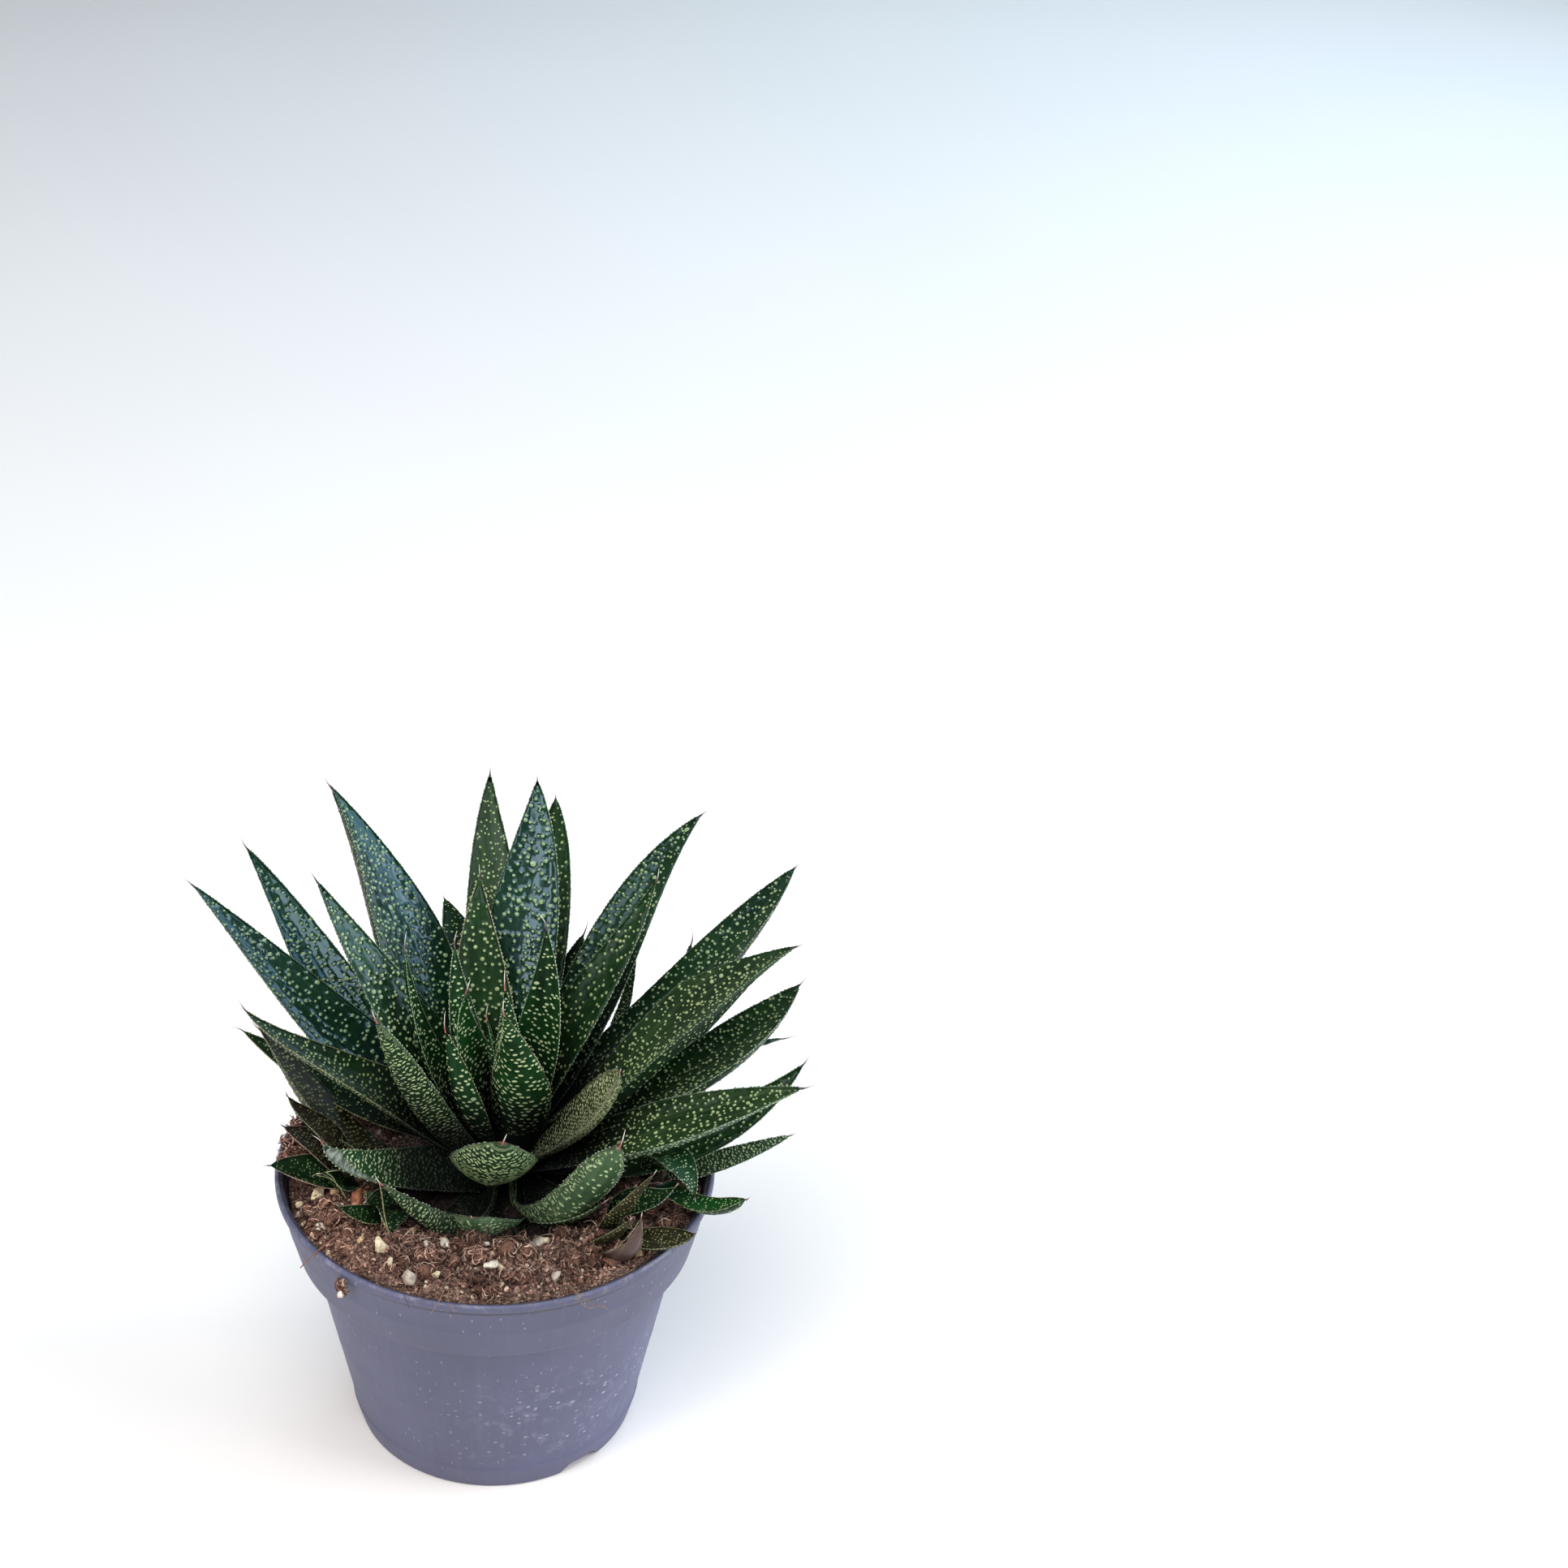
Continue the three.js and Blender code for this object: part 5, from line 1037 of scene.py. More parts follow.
    # drain holes and the notches in the foot
    cut_co, cut_tri, base = [], [], 0
    for j in range(8):
        a = (j + 0.5) * 2 * np.pi / 8
        c = np.array([25 * math.cos(a), 25 * math.sin(a)])
        th8 = np.arange(28) * 2 * np.pi / 28
        ring = np.column_stack([c[0] + 3.6 * np.cos(th8), c[1] + 3.6 * np.sin(th8)])
        pts = np.vstack([np.column_stack([ring, np.full(28, z0)]) for z0 in (-3.0, 9.0)])
        cut_co.append(pts); cut_tri.append(tube_faces(2, 28, base)); base += len(pts)
    for j in range(3):
        a = math.radians(-53.5 + 120 * j)
        arch = [(-9.0, -2.0), (-4.9, 2.35), (-4.3, 2.95), (-3.3, 3.4), (3.3, 3.4), (4.3, 2.95), (4.9, 2.35), (9.0, -2.0)]
        pts = []
        for rad in (FOOT_RADIUS - 5.2, FOOT_RADIUS + 5.8):
            for y, z0 in arch:
                pts.append((rad * math.cos(a) - y * math.sin(a), rad * math.sin(a) + y * math.cos(a), z0))
        cut_co.append(np.array(pts)); cut_tri.append(tube_faces(2, 8, base)); base += len(pts)
    cutter = build_mesh("pot_cutter", np.vstack(cut_co), np.vstack(cut_tri), [], smooth=False)
    import bmesh
    bm = bmesh.new(); bm.from_mesh(cutter.data)
    bmesh.ops.recalc_face_normals(bm, faces=bm.faces)
    bm.to_mesh(cutter.data); bm.free()
    mod = pot.modifiers.new("holes", "BOOLEAN")
    mod.operation = "DIFFERENCE"
    mod.solver = "EXACT"
    mod.object = cutter
    dg = bpy.context.evaluated_depsgraph_get()
    dg.update()
    new = bpy.data.meshes.new_from_object(pot.evaluated_get(dg))
    pot.modifiers.clear()
    old = pot.data
    pot.data = new
    bpy.data.meshes.remove(old)
    bpy.data.objects.remove(cutter)
    pot.data.name = "pot_shell"
    pot.data.set_sharp_from_angle(angle=math.radians(42))
    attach(pot, "root")
    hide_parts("pot")
    return pot


def pot_material():
    """Thin moulded plastic, slate violet: fine grain, flow marks, dust and
    small pale scuffs that lie along the wall."""
    t = Tree("pot_plastic")
    pos = t.position()
    sep = t.node("ShaderNodeSeparateXYZ")
    t.set(sep.inputs[0], pos)
    x, y, z = sep.outputs
    ang = t.math("ARCTAN2", y, x)
    com = t.node("ShaderNodeCombineXYZ")            # wall coordinates, in metres
    t.set(com.inputs[0], t.math("MULTIPLY", ang, 0.05))
    t.set(com.inputs[1], z)
    t.set(com.inputs[2], t.math("MULTIPLY", t.math("SQRT", t.math("ADD", t.math("MULTIPLY", x, x), t.math("MULTIPLY", y, y))), 0.3))
    wall = com.outputs[0]
    base = t.mix(t.ramp(t.noise(pos, 22.0, 3.0), 0.3, 0.7), lin(81, 82, 106), lin(89, 91, 118))
    base = t.mix(t.math("MULTIPLY", t.ramp(t.noise(t.stretch(wall, (400.0, 26.0, 1.0)), 1.0, 4.0, 0.6), 0.45, 0.75), 0.07), base, lin(134, 136, 156))
    base = t.mix(t.math("MULTIPLY", t.ramp(t.noise(pos, 900.0, 3.0), 0.35, 0.7), 0.14), base, lin(84, 84, 106))
    # the band is a little darker; the lip's inner ledge and the inside wall above the soil are darker again, painted
    # shade
    base = t.mix(t.ramp(z, 0.0600, 0.0615, 0.0, 0.12), base, lin(54, 52, 62))
    rad = t.math("SQRT", t.math("ADD", t.math("MULTIPLY", x, x), t.math("MULTIPLY", y, y)))
    inner = t.math("MULTIPLY", t.ramp(z, 0.0790, 0.0800), t.ramp(rad, 0.0592, 0.0586))
    base = t.mix(t.math("MULTIPLY", inner, 0.8), base, lin(50, 50, 61))
    # scuffs: short pale dashes round the wall, thick towards the foot on one side
    v1 = t.voronoi(t.stretch(wall, (420.0, 760.0, 1.0)), 1.0)
    cell = t.node("ShaderNodeSeparateColor"); t.nt.links.new(v1.outputs["Color"], cell.inputs[0])
    dash = t.math("MULTIPLY", t.ramp(v1.outputs["Distance"], 0.36, 0.14), t.ramp(cell.outputs[0], 0.74, 0.92))
    zone = t.ramp(t.noise(t.stretch(wall, (22.0, 30.0, 1.0)), 1.0, 2.0), 0.42, 0.60)
    side = t.ramp(t.math("SINE", t.math("ADD", ang, 2.35)), 0.2, 0.95)
    low = t.math("MULTIPLY", t.ramp(z, 0.055, 0.030), t.ramp(z, 0.008, 0.016))
    zone = t.math("MAXIMUM", t.math("MULTIPLY", zone, 0.06), t.math("MULTIPLY", side, low))
    dash = t.math("MULTIPLY", dash, zone)
    v2 = t.voronoi(t.stretch(wall, (900.0, 900.0, 1.0)), 1.0)
    c2 = t.node("ShaderNodeSeparateColor"); t.nt.links.new(v2.outputs["Color"], c2.inputs[0])
    speck = t.math("MULTIPLY", t.ramp(v2.outputs["Distance"], 0.26, 0.12), t.ramp(c2.outputs[1], 0.986, 0.994))
    v3 = t.voronoi(t.stretch(wall, (1500.0, 420.0, 1.0)), 1.0)
    c3 = t.node("ShaderNodeSeparateColor"); t.nt.links.new(v3.outputs["Color"], c3.inputs[0])
    line = t.math("MULTIPLY", t.ramp(v3.outputs["Distance"], 0.34, 0.1), t.ramp(c3.outputs[2], 0.975, 0.995))
    marks = t.math("MAXIMUM", t.math("MULTIPLY", dash, 0.62), t.math("MAXIMUM", t.math("MULTIPLY", speck, 0.6), t.math("MULTIPLY", line, 0.35)))
    base = t.mix(marks, base, lin(196, 198, 208))
    # a chalky haze there, and patches of pale colour along the top of the lip's outer edge
    haze = t.math("MULTIPLY", t.math("MULTIPLY", side, low), t.ramp(t.noise(pos, 260.0, 5.0, 0.65), 0.50, 0.74))
    base = t.mix(t.math("MULTIPLY", haze, 0.20), base, lin(176, 180, 196))
    worn = t.math("MULTIPLY", t.math("MULTIPLY", t.ramp(z, 0.0824, 0.0829), t.ramp(rad, 0.0588, 0.0594)), t.ramp(t.noise(pos, 110.0, 5.0, 0.7), 0.44, 0.70))
    base = t.mix(t.math("MULTIPLY", worn, 0.34), base, lin(178, 178, 194))
    # soil dust just under and on the lip
    dust = t.math("MULTIPLY", t.ramp(z, 0.0775, 0.0832), t.ramp(t.noise(pos, 420.0, 4.0, 0.65), 0.54, 0.68))
    base = t.mix(t.math("MULTIPLY", dust, 0.32), base, lin(150, 136, 128))
    r = t.math("ADD", 0.46, t.math("MULTIPLY", t.noise(pos, 60.0, 3.0), 0.16))
    r = t.math("ADD", r, t.math("MULTIPLY", marks, 0.2), clamp=True)
    n = t.bump(t.noise(pos, 1900.0, 3.0, 0.55), 0.16, 0.00012)
    n = t.bump(t.noise(t.stretch(wall, (120.0, 60.0, 1.0)), 1.0, 2.0), 0.05, 0.0006, n)
    return t.shader(base, r, n, Specular_IOR_Level=0.42)


build_pot()


# ------------------------------------------------------------------------ soil
def fbm(x, y, seed, base, octaves=3):
    """Smooth value noise on a plane, about -1 to 1."""
    total = np.zeros_like(x)
    amp = 1.0
    norm = 0.0
    for o in range(octaves):
        f = base * 2 ** o
        xi, yi = np.floor(x * f).astype(int), np.floor(y * f).astype(int)
        fx, fy = x * f - xi, y * f - yi
        fx, fy = fx * fx * (3 - 2 * fx), fy * fy * (3 - 2 * fy)

        def h(a, b):
            n = (a * 374761393 + b * 668265263 + (seed + o * 17) * 1442695041) & 0x7FFFFFFF
            n = ((n ^ (n >> 13)) * 1274126177) & 0x7FFFFFFF
            return ((n ^ (n >> 16)) & 0xFFFF) / 32767.5 - 1.0
        v = (h(xi, yi) * (1 - fx) + h(xi + 1, yi) * fx) * (1 - fy) + (h(xi, yi + 1) * (1 - fx) + h(xi + 1, yi + 1) * fx) * fy
        total += amp * v
        norm += amp
        amp *= 0.55
    return total / norm


def soil_top(x, y):
    x, y = np.asarray(x, float), np.asarray(y, float)
    r = np.hypot(x, y)
    a = np.arctan2(y, x)
    front = np.maximum(0, np.cos(a + np.pi / 2)) * np.clip((r - 22) / 22, 0, 1)
    left_gap = np.exp(-((np.where(a < 0, a + 2 * np.pi, a) - 3.45) ** 2) / 0.30) * np.maximum(0, (r - 46) / 9)
    right_gap = np.exp(-((a + 0.42) ** 2) / 0.10) * np.maximum(0, (r - 47) / 8)
    mound = 5.4 * np.exp(-((x + 53.0) / 5.0) ** 2 - ((y - 4.0) / 8.0) ** 2)
    heap = 2.8 * np.exp(-((x + 4.0) / 26.0) ** 2 - ((y + 37.0) / 10.0) ** 2)
    return (SOIL_LEVEL + 2.6 * front - 4.2 * left_gap - 3.6 * right_gap + mound + heap
            + 0.7 * np.sin(0.17 * x + 1.1) * np.cos(0.15 * y) + 0.5 * np.sin(0.31 * x - 0.23 * y))


def soil_surface(x, y):
    x, y = np.asarray(x, float), np.asarray(y, float)
    r = np.hypot(x, y)
    edge = np.clip((56.6 - r) / 2.5, 0, 1)
    clod = 1.9 * fbm(x, y, 3, 0.19, 2) + 1.7 * fbm(x, y, 9, 0.36, 2) + 0.7 * np.abs(fbm(x, y, 21, 0.9, 1))
    return soil_top(x, y) - 0.6 + clod * (0.35 + 0.65 * edge)


def shaded(t, pos):
    """Painted shade: dark soil under the rosette, by position."""
    sep = t.node("ShaderNodeSeparateXYZ")
    t.set(sep.inputs[0], pos)
    x, y, z = sep.outputs
    far_out = t.math("SQRT", t.math("ADD", t.math("MULTIPLY", x, x), t.math("MULTIPLY", y, y)))
    return t.math("MULTIPLY", t.ramp(far_out, 0.0385, 0.0315, 0.0, 0.95), t.ramp(y, 0.020, 0.0, 0.25, 1.0))


def lift(t, pos, base):
    """A painted correction: paler soil at the left, where the photo is
    brighter than the light here makes it."""
    sep = t.node("ShaderNodeSeparateXYZ")
    t.set(sep.inputs[0], pos)
    return t.mix(t.ramp(sep.outputs[0], -0.026, -0.044), base, t.mix(1.0, base, (1.42, 1.38, 1.34, 1.0), "MULTIPLY"))


def crumb_tone(t, pos, scale):
    """Flakes of peat and coir: each its own brown, with painted shade in the cracks between them."""
    warp = t.node("ShaderNodeVectorMath", operation="ADD")
    soft = t.node("ShaderNodeTexNoise")
    t.set(soft.inputs["Vector"], pos)
    soft.inputs["Scale"].default_value = scale * 0.9
    part = t.node("ShaderNodeVectorMath", operation="SCALE")
    t.set(part.inputs[0], soft.outputs["Color"])
    part.inputs["Scale"].default_value = 0.9 / scale
    t.set(warp.inputs[0], pos)
    t.set(warp.inputs[1], part.outputs[0])
    cell = t.voronoi(warp.outputs[0], scale)
    c = t.node("ShaderNodeSeparateColor")
    t.set(c.inputs[0], cell.outputs["Color"])
    tone = t.mix(t.ramp(c.outputs[0], 0.05, 0.55), lin(78, 55, 46), lin(144, 110, 95))
    tone = t.mix(t.ramp(c.outputs[0], 0.55, 0.92), tone, lin(200, 164, 145))
    tone = t.mix(t.ramp(c.outputs[1], 0.93, 0.97), tone, lin(214, 190, 166))
    # painted shade: the cracks between flakes go dark
    crack = t.ramp(cell.outputs["Distance"], 0.34, 0.70)
    return t.mix(t.math("MULTIPLY", crack, 0.85), tone, lin(34, 22, 18)), cell.outputs["Distance"]


def soil_material():
    t = Tree("soil_bed")
    pos = t.position()
    base, cell = crumb_tone(t, pos, 1150.0)
    fine, _ = crumb_tone(t, pos, 2700.0)
    base = t.mix(0.45, base, fine)
    base = t.mix(t.math("MULTIPLY", t.ramp(t.noise(pos, 150.0, 3.0, 0.6), 0.56, 0.36), 0.45), base, lin(50, 33, 27))
    base = t.mix(shaded(t, pos), lift(t, pos, base), lin(9, 7, 6))
    h = t.math("SUBTRACT", t.math("MULTIPLY", t.noise(pos, 1500.0, 5.0, 0.7), 0.7), cell)
    n = t.bump(h, 1.0, 0.0007)
    return t.shader(base, 0.95, n, Specular_IOR_Level=0.15)


def bit_material(name, rough=0.85, grain=1500.0, depth=0.0004):
    """Small loose pieces: the colour of each comes with its mesh."""
    t = Tree(name)
    pos = t.position()
    own = t.colour("mask")
    base = t.mix(t.ramp(t.noise(pos, grain * 0.5, 4.0, 0.6), 0.3, 0.72), t.mix(1.0, own, (0.50, 0.46, 0.44, 1.0), "MULTIPLY"), own)
    base = t.mix(shaded(t, pos), lift(t, pos, base), lin(9, 7, 6))
    n = t.bump(t.noise(pos, grain, 4.0, 0.65), 0.7, depth)
    return t.shader(base, rough, n, Specular_IOR_Level=0.25)


def build_soil():
    rng = np.random.default_rng(5)
    pts = []
    h = 1.02
    R = 56.55
    n = int(2 * R / h) + 2
    for j in range(n):
        y = -R + j * h * 0.92
        for i in range(n):
            x = -R + (i + 0.5 * (j % 2)) * h
            if math.hypot(x, y) < R - 0.6:
                pts.append((x, y))
    pts = np.array(pts) + rng.uniform(-0.22, 0.22, (len(pts), 2))
    m = 240
    th = np.arange(m) * 2 * np.pi / m
    loop = np.column_stack([R * np.cos(th), R * np.sin(th)])
    P = np.vstack([loop, pts])
    tri = cdt(P, list(range(m)))
    z = soil_surface(P[:, 0], P[:, 1]) + rng.normal(0, 0.20, len(P)) * (np.hypot(P[:, 0], P[:, 1]) < R - 1.2)
    co = np.column_stack([P, z])
    # side and underside, just inside the pot
    rings, faces = [], [tri]
    last = np.arange(m)
    total = len(co)
    for z0 in (76.0, 68.0, BAND_BOTTOM + 1.2, BAND_BOTTOM - 1.8, 45.0, 30.0, 16.0, FLOOR_TOP + 1.9, FLOOR_TOP + 0.4):
        if z0 < 6:
            r0 = pot_inner(FLOOR_TOP) - 2.2
        else:
            r0 = min(pot_inner(z0) - 0.5, R)
        if abs(z0 - (BAND_BOTTOM + 1.2)) < 0.01:
            r0 = pot_inner(BAND_BOTTOM - 1.8) + 2.0
        ring = np.column_stack([r0 * np.cos(th), r0 * np.sin(th), np.full(m, z0)])
        now = total + np.arange(m)
        nxt = np.roll(np.arange(m), -1)
        faces.append(np.column_stack([last, now, now[nxt]]))
        faces.append(np.column_stack([last, now[nxt], last[nxt]]))
        rings.append(ring)
        total += m
        last = now
    centre = total
    faces.append(np.column_stack([np.full(m, centre), last[np.roll(np.arange(m), -1)], last]))
    co = np.vstack([co] + rings + [[[0, 0, FLOOR_TOP + 0.4]]])
    ob = build_mesh("soil_bed", co, np.vstack(faces), [soil_material()])
    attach(ob, "root"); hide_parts("soil")
    return len(co)


build_soil()


def ico(level):
    """Unit icosphere points and triangles."""
    g = (1 + 5 ** 0.5) / 2
    v = [(-1, g, 0), (1, g, 0), (-1, -g, 0), (1, -g, 0), (0, -1, g), (0, 1, g), (0, -1, -g), (0, 1, -g), (g, 0, -1), (g, 0, 1), (-g, 0, -1), (-g, 0, 1)]
    f = [(0, 11, 5), (0, 5, 1), (0, 1, 7), (0, 7, 10), (0, 10, 11), (1, 5, 9), (5, 11, 4), (11, 10, 2), (10, 7, 6), (7, 1, 8),
         (3, 9, 4), (3, 4, 2), (3, 2, 6), (3, 6, 8), (3, 8, 9), (4, 9, 5), (2, 4, 11), (6, 2, 10), (8, 6, 7), (9, 8, 1)]
    v = [np.array(p, float) / np.linalg.norm(p) for p in v]
    for _ in range(level):
        mid, g2 = {}, []
        for a, b, c in f:
            k = []
            for p, q in ((a, b), (b, c), (c, a)):
                key = (min(p, q), max(p, q))
                if key not in mid:
                    x = v[p] + v[q]
                    v.append(x / np.linalg.norm(x))
                    mid[key] = len(v) - 1
                k.append(mid[key])
            g2 += [(a, k[0], k[2]), (b, k[1], k[0]), (c, k[2], k[1]), tuple(k)]
        f = g2
    return np.array(v), np.array(f)


ICO = {k: ico(k) for k in (0, 1, 2, 3)}


def turn(rng):
    q = rng.normal(size=4)
    q /= np.linalg.norm(q)
    w, x, y, z = q
    return np.array([[1 - 2 * (y * y + z * z), 2 * (x * y - z * w), 2 * (x * z + y * w)],
                     [2 * (x * y + z * w), 1 - 2 * (x * x + z * z), 2 * (y * z - x * w)],
                     [2 * (x * z - y * w), 2 * (y * z + x * w), 1 - 2 * (x * x + y * y)]])


def stone(rng, size, level, cuts=7, rough=0.12, facet=0.78):
    """An irregular grain: a ball with flats cut off and a pitted skin."""
    v, f = ICO[level]
    p = v.copy()
    d = rng.normal(size=(cuts, 3))
    d /= np.linalg.norm(d, axis=1)[:, None]
    lim = rng.uniform(facet - 0.16, facet + 0.12, cuts)
    for n, l in zip(d, lim):
        over = np.maximum(p @ n - l, 0)
        p -= over[:, None] * n * 0.92
    k = rng.normal(size=(6, 3)) * 3.2
    ph = rng.uniform(0, 6.28, 6)
    bumps = sum(np.sin(v @ k[i] + ph[i]) for i in range(6)) / 6
    p *= (1 + rough * bumps + rng.normal(0, rough * 0.22, len(v)))[:, None]
    return (p * np.asarray(size)) @ turn(rng).T, f


class Heap:
    """Many small meshes in one piece."""

    def __init__(self):
        self.co, self.tri, self.col, self.n, self.faces = [], [], [], 0, 0

    def add(self, co, tri, col):
        self.co.append(co)
        self.tri.append(np.asarray(tri) + self.n)
        c = np.ones((len(co), 4))
        c[:, :3] = col[:3]
        self.col.append(c)
        self.n += len(co)
        self.faces += len(tri)

    def make(self, name, mat, smooth=True):
        ob = build_mesh(name, np.vstack(self.co), np.vstack(self.tri), [mat], None, np.vstack(self.col), None, smooth)
        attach(ob, "root")
        return ob


def soil_spot(rng, r_lo=16.0, r_hi=56.0):
    """A random place on the soil, denser at the open front."""
    while True:
        r = math.sqrt(rng.uniform(r_lo ** 2, r_hi ** 2))
        a = rng.uniform(0, 2 * np.pi)
        x, y = r * math.cos(a), r * math.sin(a)
        if y < -14 or rng.random() < 0.5:
            return x, y


COIR = [lin(222, 188, 168), lin(188, 150, 132), lin(156, 119, 103), lin(121, 89, 76), lin(240, 218, 198), lin(80, 56, 47)]
COIR_WEIGHTS = [0.13, 0.24, 0.27, 0.19, 0.03, 0.14]


def fibre(heap, rng, at, across, up, ln, rad, curl, k, sides, col, ends=0.6):
    """One short curled strip: at its middle, along across, bent in the plane
    of across and up's cross product, and humped towards up."""
    u = np.linspace(-0.5, 0.5, k)
    side = np.cross(up, across)
    hump = rng.uniform(-0.1, 0.30)
    line = (at + u[:, None] * ln * across + side * (curl * ln * 0.3 * (4 * u ** 2 - 1))[:, None]
            + up * (hump * ln * (1 - 4 * u ** 2))[:, None])
    rr = np.hypot(line[:, 0], line[:, 1])
    if rr.max() > 57.2:
        return None
    w = rad * (1 - (2 * np.abs(u)) ** 3 * ends)
    ring = tube_rings(line, w, sides, np.array([0.0, 0.0, 1.0]) + 0.01 * rng.normal(size=3))
    heap.add(ring.reshape(-1, 3), tube_faces(k, sides), col)
    return line


def coir(rng, deep=1.0):
    return np.array(COIR[rng.choice(6, p=COIR_WEIGHTS)][:3]) * rng.uniform(0.8, 1.2) * deep


def build_fibres():
    """Coir and peat: crumbs of short curled fibres heaped on each other, with
    loose ones between them."""
    rng = np.random.default_rng(11)
    heap = Heap()
    cores = Heap()
    n_clods = 0
    for i in range(900):
        if n_clods >= 240:
            break
        x, y = soil_spot(rng, 20.0, 55.0)
        r = math.hypot(x, y)
        s = rng.uniform(1.2, 3.2)
        if r + s > 56.4:
            continue
        n_clods += 1
        z = float(soil_surface(np.array([x]), np.array([y]))[0]) + rng.uniform(-0.1, 0.34) * s
        own = rng.uniform(0.55, 1.3)
        co, f = stone(rng, np.array([1.0, 0.9, 0.72]) * s * 0.88, 1, 4, 0.24)
        cores.add(co + (x, y, z), f, np.array(lin(118, 86, 71)[:3]) * own)
        for j in range(int((9.5 if y < 4 else 4.5) * s + 1)):
            d = rng.normal(size=3)
            d[2] = abs(d[2]) * 0.9 + 0.1
            d /= np.linalg.norm(d)
            at = np.array([x, y, z]) + d * np.array([1.0, 0.9, 0.72]) * s * rng.uniform(0.82, 1.05)
            across = np.cross(d, rng.normal(size=3))
            across /= max(np.linalg.norm(across), 1e-6)
            # painted shade: fibres low on a clod's side are darker, those on its top paler
            low = np.clip(0.62 + 0.5 * d[2], 0.5, 1.1)
            fibre(heap, rng, at, across, d, rng.uniform(1.2, 3.2), rng.uniform(0.14, 0.28), rng.normal(0, 1.3), 5, 3, coir(rng, own * low))
    for i in range(1500):
        x, y = soil_spot(rng)
        r = math.hypot(x, y)
        long = rng.random() < 0.10
        z = float(soil_surface(np.array([x]), np.array([y]))[0]) + rng.uniform(-0.2, 0.35)
        yaw, pitch = rng.uniform(0, 2 * np.pi), rng.normal(0, 0.30 if long else 0.55)
        d = np.array([math.cos(yaw) * math.cos(pitch), math.sin(yaw) * math.cos(pitch), math.sin(pitch)])
        deep = rng.uniform(0.65, 1.05)
        if long:
            fibre(heap, rng, np.array([x, y, z + 0.5]), d, np.array([0, 0, 1.0]), rng.uniform(4.0, 8.0), rng.uniform(0.09, 0.14),
                  rng.normal(0, 0.7), 7, 3, coir(rng, deep * 1.1))
        else:
            fibre(heap, rng, np.array([x, y, z]), d, np.array([0, 0, 1.0]), rng.uniform(1.0, 2.3), rng.uniform(0.15, 0.30),
                  rng.normal(0, 1.1), 4, 3, coir(rng, deep))
    heap.make("soil_fibres", bit_material("soil_fibre", 0.9, 1900.0, 0.0003))
    cores.make("soil_clods", bit_material("soil_clod", 0.95, 1500.0, 0.0006))
    return heap.faces + cores.faces


def build_crumbs():
    """Small angular flakes over the whole bed."""
    rng = np.random.default_rng(23)
    heap = Heap()
    for i in range(2900):
        x, y = soil_spot(rng, 28.0, 56.0)
        s = rng.uniform(0.32, 0.85) * (1.5 if rng.random() < 0.10 else 1)
        if math.hypot(x, y) + s > 56.6:
            continue
        co, f = stone(rng, np.array([1.0, rng.uniform(0.6, 0.9), rng.uniform(0.35, 0.7)]) * s, 0, 2, 0.3)
        z = float(soil_surface(np.array([x]), np.array([y]))[0]) + rng.uniform(0.0, 0.5) * s
        col = coir(rng) if rng.random() < 0.965 else np.array(lin(226, 208, 182)[:3])
        heap.add(co + (x, y, z), f, col)
    heap.make("soil_crumbs", bit_material("soil_crumb", 0.92, 1400.0, 0.0005), smooth=False)
    return heap.faces


# Pumice and bark grains that stand out: x, y (mm), half sizes, kind.
# The first ones lie at the open front, left to right.
CREAM, TAN, RUST, GREY, WHITE, BARK = (lin(238, 222, 188), lin(222, 194, 150), lin(158, 104, 78), lin(206, 192, 176), lin(244, 236, 218), lin(130, 94, 78))
GRAINS = [
    (-48.1, -8.9, 2.5, CREAM), (-43.3, -8.7, 1.9, TAN), (-37.5, -12.6, 3.0, RUST), (-35.0, -9.9, 2.0, RUST),
    (-53.2, -10.5, 1.4, CREAM), (-53.6, -13.9, 1.3, GREY), (-51.1, -20.4, 1.2, CREAM), (-47.2, -21.5, 1.9, WHITE),
    (-50.1, -15.0, 1.0, TAN), (-30.3, -38.1, 2.3, CREAM), (-22.9, -28.9, 1.7, TAN), (-13.4, -35.3, 1.6, WHITE),
    (-22.6, -48.4, 2.7, GREY), (-15.7, -47.5, 1.7, CREAM), (-1.4, -46.3, 2.0, WHITE), (0.8, -45.3, 1.3, CREAM),
    (11.2, -33.9, 1.9, WHITE), (13.2, -34.9, 1.3, CREAM), (9.4, -35.4, 1.2, WHITE), (25.0, -38.9, 1.8, TAN),
    (15.4, -49.2, 1.6, GREY), (38.3, -40.6, 1.7, TAN), (30.4, -43.6, 2.6, BARK), (-2.5, -37.8, 1.2, WHITE),
    (-11.0, -39.3, 1.3, CREAM), (-16.7, -42.3, 1.3, TAN), (3.4, -48.6, 1.8, RUST), (1.1, -52.2, 1.4, CREAM),
    (-8.3, -41.8, 1.1, GREY), (-27.5, -44.5, 1.2, CREAM), (-36.0, -32.0, 1.5, TAN), (-41.0, -27.5, 1.1, WHITE),
    (19.5, -44.5, 1.0, CREAM), (44.0, -31.0, 1.2, GREY), (48.5, -21.0, 1.6, BARK), (51.0, -12.0, 1.3, CREAM),
    (34.0, -36.5, 1.0, WHITE), (-6.0, -51.5, 1.0, TAN), (8.5, -50.5, 1.1, RUST), (22.0, -51.0, 1.2, BARK),
    (-33.0, -42.5, 1.0, BARK), (-45.5, -33.5, 1.0, CREAM), (-18.5, -36.5, 0.9, WHITE), (5.5, -39.5, 0.9, CREAM),
]


